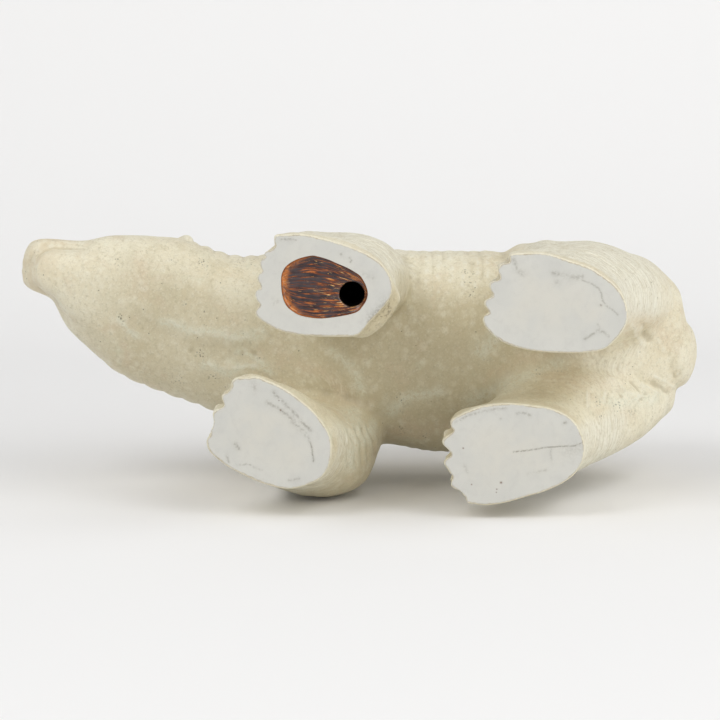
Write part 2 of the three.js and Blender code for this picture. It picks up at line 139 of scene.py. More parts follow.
# Soft boxes round the bear: name, degrees above the table, degrees to the camera's right,
# width in metres and watts
SOFT_BOXES = [
    ("low right", 15, 50, 1.1, 11),
    ("front", 30, 0, 1.1, 2),
    ("left", 45, -45, 1.1, 13.8),
    ("right", 45, 45, 1.1, 8.4),
    ("far right", 45, 100, 1.1, 6.5),
    ("far left", 45, -100, 1.1, 5),
]
BOX_DISTANCE = 2
BOX_AIM = 0.08

# Even light from all sides
WORLD_STRENGTH = 0.30

# Middle of each foot, in metres
FEET = {
    "left_fore": Vector((42.59, -16.82, 0)) * MM,
    "right_fore": Vector((-28.21, -41.32, 0)) * MM,
    "left_hind": Vector((33.79, 92.88, 0)) * MM,
    "right_hind": Vector((-36.81, 72.58, 0)) * MM,
}

# Edge of each sole with its toes, in millimetres from the middle of the foot
PAW_EDGES = {
    "left_fore": [
        (23.7, -23.2), (24.8, -22.8), (25.1, -18.6), (25.5, -12.9), (25.1, -8.0), (23.9, -2.4),
        (22.4, 3.3), (20.5, 9.6), (18.0, 16.0), (15.6, 21.2), (12.5, 26.0), (9.0, 29.2), (5.6, 31.3),
        (2.4, 32.5), (-1.1, 32.6), (-4.3, 31.8), (-7.2, 30.1), (-11.4, 26.6), (-15.4, 22.7),
        (-19.3, 19.5), (-22.5, 16.3), (-23.4, 12.4), (-23.5, 5.3), (-23.4, -1.8), (-22.9, -8.9),
        (-22.2, -14.5), (-20.8, -20.2), (-18.9, -24.4), (-16.5, -28.3), (-14.4, -31.1),
        (-12.2, -32.5), (-10.0, -32.0), (-8.4, -30.4), (-6.4, -31.7), (-3.4, -32.7), (-0.9, -32.0),
        (0.0, -29.8), (2.3, -31.0), (4.6, -31.5), (6.6, -30.9), (7.7, -29.2), (10.0, -30.2),
        (12.2, -30.2), (13.8, -29.4), (14.2, -27.8), (15.8, -28.6), (17.3, -27.4), (18.0, -25.2),
        (19.2, -23.5), (20.5, -23.3), (21.9, -23.6),
    ],
    "right_fore": [
        (26.1, -19.1), (27.9, -16.7), (28.1, -12.2), (28.3, -7.0), (26.6, -2.5), (24.2, 3.1),
        (20.9, 8.6), (16.6, 14.2), (11.7, 19.6), (6.5, 23.9), (1.6, 26.8), (-3.0, 28.2),
        (-8.0, 28.3), (-12.9, 27.5), (-17.4, 25.6), (-21.0, 22.4), (-23.2, 18.2), (-25.0, 13.0),
        (-25.7, 7.8), (-25.0, 2.2), (-23.4, -3.4), (-21.2, -9.0), (-17.9, -15.9), (-14.7, -21.5),
        (-11.1, -26.3), (-7.7, -29.8), (-4.4, -31.2), (-1.6, -31.1), (1.2, -29.3), (2.3, -30.0),
        (4.1, -28.9), (6.5, -28.2), (8.6, -28.4), (11.4, -28.0), (12.9, -26.2), (14.3, -23.4),
        (15.9, -23.4), (17.8, -24.1), (19.9, -23.6), (21.1, -21.2), (22.6, -19.9), (24.2, -19.3),
    ],
    "left_hind": [
        (23.7, -22.6), (24.9, -20.7), (25.3, -13.1), (25.3, -7.9), (24.3, -1.9), (22.0, 4.9),
        (20.1, 11.0), (17.8, 16.7), (14.4, 22.0), (11.0, 26.5), (7.5, 29.7), (3.5, 32.1),
        (-1.0, 33.4), (-5.2, 33.9), (-9.2, 32.9), (-13.1, 30.7), (-16.7, 27.6), (-20.1, 23.7),
        (-21.6, 19.0), (-22.3, 13.0), (-22.5, 6.9), (-22.3, -0.6), (-21.7, -8.2), (-20.8, -14.3),
        (-19.2, -20.3), (-17.2, -25.2), (-14.1, -29.6), (-10.7, -32.9), (-7.9, -34.5),
        (-5.7, -34.9), (-3.9, -34.0), (-3.0, -32.0), (-1.0, -33.3), (1.4, -34.1), (3.4, -33.0),
        (5.0, -30.2), (7.3, -31.3), (10.2, -31.9), (12.0, -30.5), (12.7, -27.2), (14.5, -27.1),
        (16.3, -28.1), (19.1, -27.2), (20.6, -25.1), (20.9, -22.8), (22.2, -22.3),
    ],
    "right_hind": [
        (16.1, -29.1), (19.5, -23.8), (22.3, -16.7), (23.8, -9.7), (24.3, -3.5), (24.1, 2.7),
        (23.3, 9.8), (22.4, 16.2), (20.6, 21.7), (17.5, 27.2), (13.3, 31.0), (8.6, 33.4),
        (4.1, 34.5), (-0.6, 34.3), (-4.6, 33.3), (-9.4, 30.3), (-12.8, 26.5), (-15.9, 21.2),
        (-19.0, 13.7), (-20.4, 8.4), (-22.6, 1.3), (-24.0, -4.0), (-25.0, -11.1), (-24.6, -17.3),
        (-23.6, -21.6), (-21.6, -22.3), (-18.6, -24.7), (-16.4, -28.2), (-14.1, -29.5),
        (-11.6, -28.4), (-10.1, -29.3), (-7.4, -30.8), (-4.9, -32.4), (-2.6, -32.0), (-0.6, -29.2),
        (1.6, -30.6), (4.1, -33.1), (6.8, -32.9), (9.3, -30.3), (11.1, -28.2), (13.1, -29.6),
    ],
}

# The photograph's viewpoint: a 720 pixel square seen from 1.3 m away
VIEW_TILT = math.radians(8)
VIEW_CENTRE = Vector((8.185, 0.279, 0)) * MM
VIEW_DISTANCE = 1.3
PIXELS_PER_UNIT = 2750
HALF_FRAME = 360
SENSOR_WIDTH = 36

# The paper that the bear lies on, in metres: its place below the bear's right side,
# and the sweep that rises from it behind the bear
TABLE_DEPTH = -68.6 * MM
SWEEP_RADIUS = 0.6
SWEEP_TURN = math.radians(66)
SWEEP_STEPS = 16
SWEEP_FRONT = -2.2
SWEEP_BACK = 0.55
SWEEP_HALF_WIDTH = 2.4

# Glazed hollow in the left fore sole and its vent, in millimetres from the middle of the foot
PANEL_EDGE = [
    (3.1, -20.1), (6.7, -19.7), (9.9, -17.9), (12.2, -15.0), (13.8, -11.6), (14.6, -8.7),
    (15.2, -5.2), (14.5, -1.7), (13.2, 2.5), (11.3, 6.8), (9.5, 11.0), (7.5, 14.5), (5.6, 17.2),
    (3.1, 18.9), (-0.1, 20.3), (-3.3, 20.8), (-6.5, 19.9), (-8.8, 18.4), (-11.2, 16.3),
    (-12.5, 13.1), (-13.4, 8.9), (-14.2, 3.9), (-14.7, -1.8), (-14.1, -7.4), (-13.0, -11.7),
    (-11.4, -14.5), (-9.0, -17.3), (-5.4, -19.1), (-1.1, -19.9),
]

# Bars that fill the castings' hollow for the panel while the skin is made, in millimetres:
# place towards the heel and radius
PANEL_FILLERS = [(0, 17.5), (7, 16)]

# Clearance round the panel, depth of its dish, and the vent through it, in millimetres
PANEL_GAP = 0.12
PANEL_DEPTH = 1.5
VENT_PLACE = (-3.3, 13.3)
VENT_RADIUS = 5.9
VENT_DEPTH = 46

# Scuffs and cracks on the soles, in millimetres from the middle of the foot:
# corners, half width, strength and how broken up they are
SOLE_MARKS = {
    "left_fore": [
        ([(22.8, -20.0), (23.0, -14.4), (22.6, -13.0)], 0.35, 0.55, 0.9),
        ([(14.1, 12.1), (13.1, 13.1), (12.0, 12.4)], 0.3, 0.6, 0.4),
        ([(15.8, 8.2)], 0.5, 0.5, 0.4),
        ([(-5.4, -23.7), (-8.2, -23.3), (-6.1, -21.2)], 0.6, 0.35, 0.8),
        ([(6.5, 18.5), (4.6, 23.0)], 0.9, 0.3, 0.8),
        ([(-7.5, 29.6), (-11.1, 26.2), (-15.4, 22.0)], 1.5, 0.6, 1.0),
    ],
    "right_fore": [
        (
            [(20.9, 1.0), (17.8, 3.4), (15.0, 6.5), (11.8, 9.6), (8.6, 12.7), (5.1, 15.5), (2.3, 18.3)],
            0.55, 0.6, 0.9,
        ),
        (
            [(16.0, -2.2), (14.3, 0.9), (12.1, 4.4), (9.3, 7.9), (5.8, 10.6), (2.3, 14.5), (-1.2, 17.2)],
            0.6, 0.5, 1.1,
        ),
        ([(-1.2, 17.2), (-5.5, 18.6), (-9.7, 19.2), (-12.2, 19.4)], 0.3, 0.7, 0.2),
        ([(11.0, 9.0), (5.0, 14.5)], 1.6, 0.25, 1.2),
        ([(25.2, -8.7), (22.7, -8.0)], 0.9, 0.35, 0.6),
        ([(-4.0, -17.4), (-6.0, -16.0)], 0.6, 0.6, 0.5),
        ([(-9.0, -21.8), (-12.6, -20.8)], 0.35, 0.5, 0.7),
        ([(-14.0, -15.9), (-13.6, -11.0), (-15.7, -7.6), (-16.4, -5.1)], 0.35, 0.55, 0.9),
        ([(-21.4, 7.8), (-20.7, 12.7)], 0.35, 0.45, 0.5),
    ],
    "left_hind": [
        ([(15.8, -1.8), (14.9, 2.0), (14.0, 5.8), (13.5, 9.6), (14.1, 12.2)], 0.75, 0.42, 0.9),
        (
            [
                (12.2, 12.2), (10.7, 16.4), (8.5, 19.8), (5.8, 21.3),
                (2.8, 21.7), (0.1, 23.7), (-2.2, 27.1), (-4.1, 29.0),
            ],
            0.28, 0.5, 0.5,
        ),
        ([(11.1, 0.2)], 0.8, 0.45, 0.8),
        ([(0.5, 21.0)], 0.35, 0.8, 0),
        ([(-15.5, 13.6), (-13.6, 16.6), (-11.7, 19.6), (-12.4, 22.7), (-14.4, 25.0)], 0.4, 0.6, 0.9),
        ([(-8.6, 19.6), (-11.3, 20.4)], 0.3, 0.4, 0.6),
        ([(22.2, -20.6), (17.2, -18.3), (15.3, -16.1)], 0.8, 0.4, 1.0),
    ],
    "right_hind": [
        ([(0.9, 0.7), (1.7, 8.2), (3.0, 15.3), (3.5, 22.4), (3.8, 29.5), (5.9, 34.3)], 0.2, 0.85, 0.15),
        ([(3.2, 18.4), (0.0, 18.2), (-2.7, 18.5)], 0.35, 0.35, 0.4),
        ([(15.3, -26.9), (18.4, -21.1), (20.2, -14.9), (21.6, -7.9), (22.0, -3.5)], 0.45, 0.5, 0.8),
        ([(16.9, -5.6)], 0.3, 0.5, 0),
        ([(19.3, 2.2), (19.8, 5.4), (18.4, 8.2)], 0.5, 0.45, 0.9),
        ([(14.9, 24.5), (15.2, 25.4)], 0.45, 0.6, 0.5),
        ([(-6.3, -22.3), (-8.5, -21.4)], 0.7, 0.3, 0.7),
        ([(-9.4, 7.4), (-8.7, 11.9), (-7.8, 16.3)], 0.4, 0.3, 0.9),
        ([(2.0, 27.0), (3.5, 33.0)], 2.4, 0.22, 0.6),
    ],
}

# Knocked corner of the left fore heel, in millimetres from the middle of the foot:
# where the clay is spread, where it is chipped, and the worst spot of the chip
SPREAD_HEEL = [(-6.5, 30), (-13, 25.5), (-21, 19)]
CHIPPED_HEEL = [(-7.5, 32), (-13.5, 28), (-21, 21.5)]
CHIP_SPOT = (-12, 29)

# Iron specks on the soles: place and radius, in millimetres from the middle of the foot
SOLE_SPECKS = {
    "left_fore": [],
    "right_fore": [((12.4, 3.9), 0.35), ((17.0, 3.2), 0.25)],
    "left_hind": [((0.5, 21.0), 0.25)],
    "right_hind": [
        ((-13.9, -5.2), 0.5), ((2.7, -23.3), 0.35), ((-17.1, -7.2), 0.3), ((-18.6, -7.4), 0.25),
        ((-14.8, -19.2), 0.3),
    ],
}

# Ears, from the nose: back, out to the side and above the ground, in millimetres
EAR_BACK = 71
EAR_OUT = 27.6
EAR_UP = 124.4
EAR_TURN = math.radians(38)

# Lumps of clay pressed on for the ears and the tail, in millimetres:
# rise above their root, and whole widths across, to the front and outward
EAR_LUMPS = [(1.8, (17.5, 10.5, 22)), (-0.5, (22, 16, 12))]
TAIL_LUMP = (0, (34, 40, 17))
TAIL_LEAN = math.radians(16)

# Where the lumps are cut from the skin round them, in millimetres:
# half widths of the ring and reach of the cut
EAR_SEAM = (11, 8.5, 24)
TAIL_SEAM = (19, 21, 34)

# Wall of a paw from its sole up: height above the ground and how far it draws in, in millimetres
PAW_WALL = [
    (0, 0.6), (0.14, 0.3), (0.4, 0.1), (0.9, 0), (2.5, -0.15), (4.5, -0.25), (7, -0.2),
    (9.5, 0), (12, 0), (14.5, 0.1), (17, 1.2), (20, 5),
]
PAW_CORNERS = 260

# The skin's own unevenness, in millimetres: height and width of its lumps, and their seed
SWELLS = [(0.24, 13, 1), (0.13, 6, 2), (0.07, 3, 3)]

# Scallops of the ruff on the left (1) and on the right (-1) of the neck, in millimetres:
# length of a wave, how sharply it peaks, start and end along y, height above the ground, spread and depth
RUFF = {
    1: (7, 1.25, -94, -46, 110, 14, 1.0),
    -1: (9.6, 0.8, -135, -62, 97, 20, 0.8),
}

# Lines worked into the clay where the camera sees them:
# corners in pixels, height (+) or depth (-) in millimetres, half width in pixels
NECK_FOLDS = [
    ([(108, 292), (135, 306), (165, 319), (200, 330), (235, 335), (262, 331)], 0.65, 12),
    ([(165, 320), (180, 325), (200, 331), (215, 335), (235, 337), (262, 332)], 0.14, 3.2),
    ([(185, 344), (205, 352), (228, 355), (262, 350)], -1.15, 11),
    ([(203, 362), (222, 368), (240, 369), (262, 364)], 0.5, 4.5),
    ([(236, 371), (252, 370), (266, 375), (276, 382)], -0.35, 2.2),
    ([(121, 322), (134, 331), (138, 335)], 0.22, 3),
    ([(176, 336), (150, 330), (125, 318)], -0.5, 9),
]
HIND_CARVING = [
    ([(606, 376), (616, 380), (627, 392), (637, 395), (632, 407)], 0.55, 2.4),
    ([(610, 384), (618, 390), (624, 398)], -0.7, 2.6),
    ([(633, 377), (645, 386), (656, 392), (647, 404)], 0.6, 2.4),
    ([(628, 380), (638, 388), (646, 394), (640, 401)], -0.7, 2.4),
    ([(652, 374), (664, 381), (674, 388)], 0.6, 2.6),
    ([(650, 381), (660, 387), (668, 393)], -0.6, 2.6),
    ([(587, 390), (586, 411)], 0.55, 1.8),
    ([(592, 391), (591, 408)], -0.45, 1.8),
    ([(604, 391), (602, 405)], 0.5, 1.8),
    ([(608, 392), (607, 404)], -0.4, 1.6),
    ([(632, 322), (636, 336), (642, 346)], 0.7, 4),
    ([(643, 322), (645, 334), (650, 343)], -1.0, 4.5),
    ([(654, 330), (659, 340), (664, 352)], 0.6, 3.5),
    ([(674, 328), (673, 350), (674, 372)], -0.5, 5),
    ([(674, 371), (680, 371), (681, 376), (675, 377), (674, 371)], -0.35, 1.5),
]
ELBOW_WAVES = [
    ([(341, 432), (348, 448), (348, 470)], -0.6, 1.7),
    ([(349, 430), (355, 445), (356, 466)], -0.9, 1.8),
    ([(355, 426), (362, 442), (363, 466)], -1.05, 1.8),
    ([(361, 424), (368, 440), (369, 463)], -1.05, 1.8),
    ([(367, 426), (374, 441), (375, 458)], -0.9, 1.7),
]

# Mouth and muzzle as the camera sees them from below
MOUTH_LINES = [
    (
        [
            (84, 248.5), (63, 248), (54, 247.5), (45, 250), (38, 255.5),
            (33.6, 265), (34, 278), (38.5, 287.5), (46, 295), (57, 304),
        ],
        -0.6, 1.4,
    ),
    ([(60, 251), (47, 253), (41, 258), (37.5, 266), (38, 277), (42.5, 286), (50, 293)], 0.16, 1.8),
    ([(86, 245.8), (70, 245.2), (58, 243.5)], -0.35, 1.1),
    ([(52, 241), (40, 242), (31, 249), (26.5, 260), (27, 272), (32, 281)], 0.2, 2.5),
    ([(48, 244), (39, 246), (34, 251), (30.5, 260)], -0.16, 1.1),
]

# Pinholes that burst in clusters in the glaze: place and radius in pixels
PINHOLES = [
    (203, 263, 6), (201, 354, 6), (121, 318, 5), (213, 379, 5), (118, 261, 4), (186, 306, 2.5),
    (245, 319, 1.6), (244, 334, 1.6), (240, 262, 4), (148, 251, 1.5), (646, 333, 2.5), (656, 335, 2),
    (484, 364, 4), (538, 372, 4), (400, 398, 5), (388, 290, 3), (618, 407, 6), (632, 410, 4),
    (602, 416, 3), (572, 246, 3), (432, 402, 2), (54, 264.5, 1.2), (22.5, 269, 1.2), (28, 264, 1.2),
    (545, 240, 2), (402, 430, 4), (425, 436, 3),
]

# Soft pulls on the large forms: place and radius in pixels, push up and to the right in the view
# in millimetres, and the two heights above the ground, in millimetres, between which they act
PULLS = [
    ((425, 246), 36, (-2.0, 0), (20, 200)),
    ((483, 245), 30, (-2.4, 0), (40, 200)),
    ((335, 230), 36, (-1.9, 0), (8, 200)),
    ((236, 246), 32, (-3.2, 0), (20, 200)),
    ((158, 238), 20, (-0.9, 0), (20, 200)),
    ((632, 248), 26, (-2.3, -1.0), (8, 200)),
    ((664, 268), 26, (-1.5, -2.2), (8, 200)),
    ((676, 408), 18, (-0.8, 3.2), (8, 200)),
    ((18, 271), 11, (0, 2.0), (-40, 200)),
    ((44, 306), 15, (2.7, 1.9), (-40, 200)),
    ((384, 455), 26, (0.4, -2.4), (4, 70)),
    ((252, 372), 15, (-1.5, 0), (3, 50)),
    ((284, 382), 14, (-1.2, 0), (3, 50)),
    ((470, 403), 24, (-2.1, 0), (3, 50)),
    ((521, 243), 8, (1.1, 0), (20, 200)),
    ((503, 249), 9, (-2.3, 0), (20, 200)),
    ((540, 243), 12, (1.3, 0), (20, 200)),
]

# Pale greenish bloom and warm tan patches in the glaze, as the camera sees them:
# corners and half width in pixels
BLOOM = [
    ([(344, 428), (356, 442), (352, 464)], 8),
    ([(372, 420), (366, 440)], 5),
    ([(470, 400), (500, 388), (530, 374), (560, 366)], 8),
    ([(392, 408), (415, 398), (440, 392)], 6),
    ([(352, 412), (360, 428), (356, 446)], 8),
    ([(165, 323), (200, 332), (240, 338), (262, 334)], 5),
    ([(206, 366), (230, 371), (264, 365)], 4),
    ([(121, 322), (130, 330), (139, 335)], 4),
    ([(270, 372), (262, 360), (240, 352)], 4),
    ([(520, 300), (500, 330), (480, 352)], 9),
    ([(330, 352), (352, 372), (362, 392)], 5),
    ([(600, 398), (630, 400), (655, 398)], 7),
]
WARM = [
    ([(499, 271), (508, 262)], 3),
    ([(624, 318), (628, 345)], 2.5),
    ([(548, 380), (585, 382), (625, 376)], 9),
    ([(625, 315), (655, 322), (672, 345)], 9),
    ([(520, 356), (560, 352), (600, 350)], 6),
    ([(140, 262), (143, 285)], 6),
    ([(125, 345), (128, 362)], 4),
    ([(455, 425), (420, 430), (390, 436)], 8),
    ([(300, 365), (330, 378), (352, 400)], 6),
    ([(75, 243), (50, 242), (34, 252)], 3),
]


def on_head(back, left, up):
    """Place on the turned head, in millimetres back from the nose, to the left and above the ground."""
    x = NOSE.x - back * MM * math.sin(HEAD_TURN) + left * MM * math.cos(HEAD_TURN)
    y = NOSE.y + back * MM * math.cos(HEAD_TURN) + left * MM * math.sin(HEAD_TURN)
    return Vector((x, y, up * MM))


def head_places(points):
    """The same three lengths for many points at once."""
    x, y = (points[:, 0] - NOSE.x) / MM, (points[:, 1] - NOSE.y) / MM
    back = -x * math.sin(HEAD_TURN) + y * math.cos(HEAD_TURN)
    left = x * math.cos(HEAD_TURN) + y * math.sin(HEAD_TURN)
    return back, left, points[:, 2] / MM


def new_piece(name, bm):
    """Object made of a bmesh, with its place in its mesh."""
    mesh = bpy.data.meshes.new(name)
    bm.to_mesh(mesh)
    bm.free()
    piece = bpy.data.objects.new(name, mesh)
    bpy.context.scene.collection.objects.link(piece)
    return piece


def with_modifiers(piece):
    """Works the modifiers of a piece into its mesh."""
    graph = bpy.context.evaluated_depsgraph_get()
    mesh = bpy.data.meshes.new_from_object(piece.evaluated_get(graph))
    old = piece.data
    piece.modifiers.clear()
    piece.data = mesh
    bpy.data.meshes.remove(old)


def remesh(piece, grain):
    """Lays an even skin of small squares over everything in the piece."""
    modifier = piece.modifiers.new("even skin", "REMESH")
    modifier.mode = "VOXEL"
    modifier.voxel_size = grain
    with_modifiers(piece)


def points_of(mesh):
    """Places of a mesh's points, one row each."""
    flat = np.empty(len(mesh.vertices) * 3, np.float32)
    mesh.vertices.foreach_get("co", flat)
    return flat.reshape(-1, 3).astype(np.float64)


def set_points(mesh, points):
    """Moves a mesh's points to new places."""
    mesh.vertices.foreach_set("co", points.astype(np.float32).ravel())
    mesh.update()


def normals_of(mesh):
    """Outward directions at a mesh's points, one row each."""
    flat = np.empty(len(mesh.vertices) * 3, np.float32)
    mesh.vertex_normals.foreach_get("vector", flat)
    return flat.reshape(-1, 3).astype(np.float64)


def neighbours_of(mesh):
    """Each point's neighbours, row after row, with the start and the length of each row."""
    flat = np.empty(len(mesh.edges) * 2, np.int32)
    mesh.edges.foreach_get("vertices", flat)
    pairs = flat.reshape(-1, 2)
    pairs = np.concatenate([pairs, pairs[:, ::-1]])
    count = np.bincount(pairs[:, 0], minlength=len(mesh.vertices))
    starts = np.concatenate([[0], np.cumsum(count)[:-1]])
    return pairs[np.argsort(pairs[:, 0], kind="stable"), 1], starts, count


def average_round(points, around):
    """Mean of each point's neighbours."""
    other, starts, count = around
    return np.add.reduceat(points[other], starts) / count[:, None]


def settle(mesh, passes, amount=1.0, swell=0.53):
    """Smooth the clay without letting it shrink: each pass draws in and then swells back."""
    points, around = points_of(mesh), neighbours_of(mesh)
    amount = np.broadcast_to(amount, len(points))[:, None]
    for _ in range(passes):
        points += 0.5 * amount * (average_round(points, around) - points)
        if swell:
            points -= swell * amount * (average_round(points, around) - points)
    set_points(mesh, points)


def keep_outside(piece):
    """Drops the inner skins of the hollow casting, so that only the outer one is left."""
    mesh = piece.data
    other, starts, _ = neighbours_of(mesh)
    group = np.arange(len(mesh.vertices))
    # Each point takes the lowest number round it until every skin has a number of its own
    while True:
        lowest = np.minimum(group, np.minimum.reduceat(group[other], starts))
        lowest = lowest[lowest]
        if (lowest == group).all():
            break
        group = lowest
    largest = np.bincount(group).argmax()
    bm = bmesh.new()
    bm.from_mesh(mesh)
    bm.verts.ensure_lookup_table()
    inner = [bm.verts[i] for i in np.nonzero(group != largest)[0]]
    bmesh.ops.delete(bm, geom=inner, context="VERTS")
    bm.to_mesh(mesh)
    bm.free()


def smooth_step(low, high, value):
    """Soft rise from 0 at the low value to 1 at the high one."""
    share = np.clip((value - low) / (high - low), 0, 1)
    return share * share * (3 - 2 * share)


def through_points(corners, count):
    """Closed smooth curve through a ring of corners, evenly spaced."""
    corners = np.array(corners, float)
    ahead, back = np.roll(corners, -1, 0), np.roll(corners, 1, 0)
    tangent = 0.5 * (ahead - back)
    curve = []
    for share in np.linspace(0, 1, 12, endpoint=False):
        squared, cubed = share * share, share ** 3
        next_tangent = np.roll(tangent, -1, 0)
        curve.append(
            (2 * cubed - 3 * squared + 1) * corners
            + (cubed - 2 * squared + share) * tangent
            + (3 * squared - 2 * cubed) * ahead
            + (cubed - squared) * next_tangent
        )
    dense = np.stack(curve, 1).reshape(-1, 2)
    closed = np.vstack([dense, dense[:1]])
    run = np.concatenate([[0], np.cumsum(np.linalg.norm(np.diff(closed, axis=0), axis=1))])
    at = np.linspace(0, run[-1], count, endpoint=False)
    return np.stack([np.interp(at, run, closed[:, 0]), np.interp(at, run, closed[:, 1])], 1)


def close_ends(bm):
    """Caps each open loop with flat triangles and turns the faces outward."""
    open_edges = {edge for edge in bm.edges if edge.is_boundary}
    caps = []
    while open_edges:
        loop = [open_edges.pop()]
        stack = list(loop[0].verts)
        while stack:
            for edge in stack.pop().link_edges:
                if edge in open_edges:
                    open_edges.remove(edge)
                    loop.append(edge)
                    stack.extend(edge.verts)
        made = bmesh.ops.triangle_fill(bm, edges=loop, use_beauty=True, use_dissolve=False)
        caps += [item for item in made["geom"] if isinstance(item, bmesh.types.BMFace)]
    bmesh.ops.recalc_face_normals(bm, faces=bm.faces)
    return caps


def cut_level(bm, height, keep_above):
    """Cuts everything off level at a height and caps the cut."""
    everything = bm.verts[:] + bm.edges[:] + bm.faces[:]
    bmesh.ops.bisect_plane(
        bm,
        geom=everything,
        dist=1e-7,
        plane_co=(0, 0, height),
        plane_no=(0, 0, 1),
        clear_inner=keep_above,
        clear_outer=not keep_above,
    )
    close_ends(bm)


def merged_castings(names):
    """The castings' solids together, as one mesh with its doubles merged."""
    bm = bmesh.new()
    for name in names:
        bm.from_mesh(frame["nodes"][name].data)
    bmesh.ops.remove_doubles(bm, verts=bm.verts, dist=0.002 * MM)
    return bm


def round_bar(bm, radius, depth, place, segments):
    """Adds an upright round bar around a place."""
    bmesh.ops.create_cone(
        bm,
        cap_ends=True,
        segments=segments,
        radius1=radius,
        radius2=radius,
        depth=depth,
        matrix=Matrix.Translation(place),
    )


def large_forms():
    """Body, neck, head and legs as one smooth form, cut off level at the ankles."""
    names = ["trunk", "head_and_neck"]
    for foot in FEET:
        names += [f"{foot}_leg", f"{foot}_sole"]
    bm = merged_castings(names)
    for back, radius in PANEL_FILLERS:
        round_bar(bm, radius * MM, 5.4 * MM, FEET["left_fore"] + Vector((0, back, 3.4)) * MM, 32)
    body = new_piece("large_forms", bm)
    remesh(body, CAGE_GRAIN)
    keep_outside(body)
    behind_nose = (points_of(body.data)[:, 1] - NOSE.y) / MM
    settle(body.data, 22, 0.35 + 0.65 * smooth_step(25, 70, behind_nose))
    modifier = body.modifiers.new("smooth", "SUBSURF")
    modifier.levels = modifier.render_levels = 1
    with_modifiers(body)
    bm = bmesh.new()
    bm.from_mesh(body.data)
    cut_level(bm, ANKLE, True)
    bm.to_mesh(body.data)
    bm.free()
    return body


def paw(foot, body_tree):
    """Lower end of a leg: its level sole with the toes, rising into the leg above."""
    middle = FEET[foot]
    edge = through_points(PAW_EDGES[foot], PAW_CORNERS) * MM
    reach = np.linalg.norm(edge, axis=1)
    outward = edge / reach[:, None]
    upper = []
    for x, y in outward:
        start = Vector((middle.x, middle.y, ANKLE + 2 * MM))
        hit = body_tree.ray_cast(start, Vector((x, y, 0)))
        upper.append((hit[0] - start).length)
    upper = np.array(upper)
    smooth = upper.copy()
    for _ in range(30):
        smooth = (np.roll(smooth, 1) + smooth + np.roll(smooth, -1)) / 3
    upper = 0.4 * upper + 0.6 * smooth
    bm = bmesh.new()
    turn_of = bm.verts.layers.float.new("turn")
    bmesh.ops.create_circle(bm, cap_ends=False, segments=len(edge), radius=1)
    ring = sorted(bm.verts, key=lambda vert: math.atan2(vert.co.y, vert.co.x))
    for i, vert in enumerate(ring):
        vert[turn_of] = i
    order = np.argsort(np.arctan2(edge[:, 1], edge[:, 0]))
    for level, (height, inset) in enumerate(PAW_WALL):
        if level:
            made = bmesh.ops.extrude_edge_only(bm, edges=rim)["geom"]
            rim = [item for item in made if isinstance(item, bmesh.types.BMEdge)]
            rim = [item for item in rim if item.is_boundary]
            ring = [item for item in made if isinstance(item, bmesh.types.BMVert)]
            ring.sort(key=lambda vert: vert[turn_of])
        else:
            rim = bm.edges[:]
        share = smooth_step(0.5, ANKLE / MM + 1, height)
        out = reach * (1 - share) + upper * share - inset * MM
        for vert, i in zip(ring, order):
            x, y = outward[i] * out[i]
            vert.co = Vector((middle.x + x, middle.y + y, height * MM))
    close_ends(bm)
    return new_piece(f"{foot}_paw", bm)


def ear_axes(side):
    """Root of an ear and its own directions: across it, to its front and outward."""
    left = Vector((math.cos(HEAD_TURN), math.sin(HEAD_TURN), 0)) * side
    forward = Vector((math.sin(HEAD_TURN), -math.cos(HEAD_TURN), 0))
    outward = (left * 0.70 + Vector((0, 0, 0.72))).normalized()
    front = Matrix.Rotation(side * EAR_TURN, 3, outward) @ forward
    return on_head(EAR_BACK, side * EAR_OUT, EAR_UP), Matrix((outward.cross(front), front, outward))


def tail_axes():
    """Root of the tail and its own directions: across it, down along it and outward."""
    low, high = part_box("tail")
    down = Vector((0, -math.sin(TAIL_LEAN), -math.cos(TAIL_LEAN)))
    outward = Vector((0, math.cos(TAIL_LEAN), -math.sin(TAIL_LEAN)))
    root = Vector(((low.x + high.x) / 2, high.y - 8.7 * MM, 111.5 * MM))
    return root, Matrix((Vector((1, 0, 0)), down, outward))


def rounded_form(bm, root, axes, rise, size):
    """Egg-shaped lump of clay pressed on; sizes are whole widths along its own directions."""
    made = bmesh.ops.create_icosphere(bm, subdivisions=5, radius=0.5 * MM)
    turned = Matrix.Translation(root + axes[2] * rise * MM) @ axes.transposed().to_4x4()
    place = turned @ Matrix.Diagonal((*size, 1))
    bmesh.ops.transform(bm, matrix=place, verts=made["verts"])


def ears_and_tail():
    """Ears and tail, pressed on to the large forms."""
    bm = bmesh.new()
    for side in (1, -1):
        root, axes = ear_axes(side)
        for rise, size in EAR_LUMPS:
            rounded_form(bm, root, axes, rise, size)
    root, axes = tail_axes()
    rounded_form(bm, root, axes, *TAIL_LUMP)
    return new_piece("small_forms", bm)


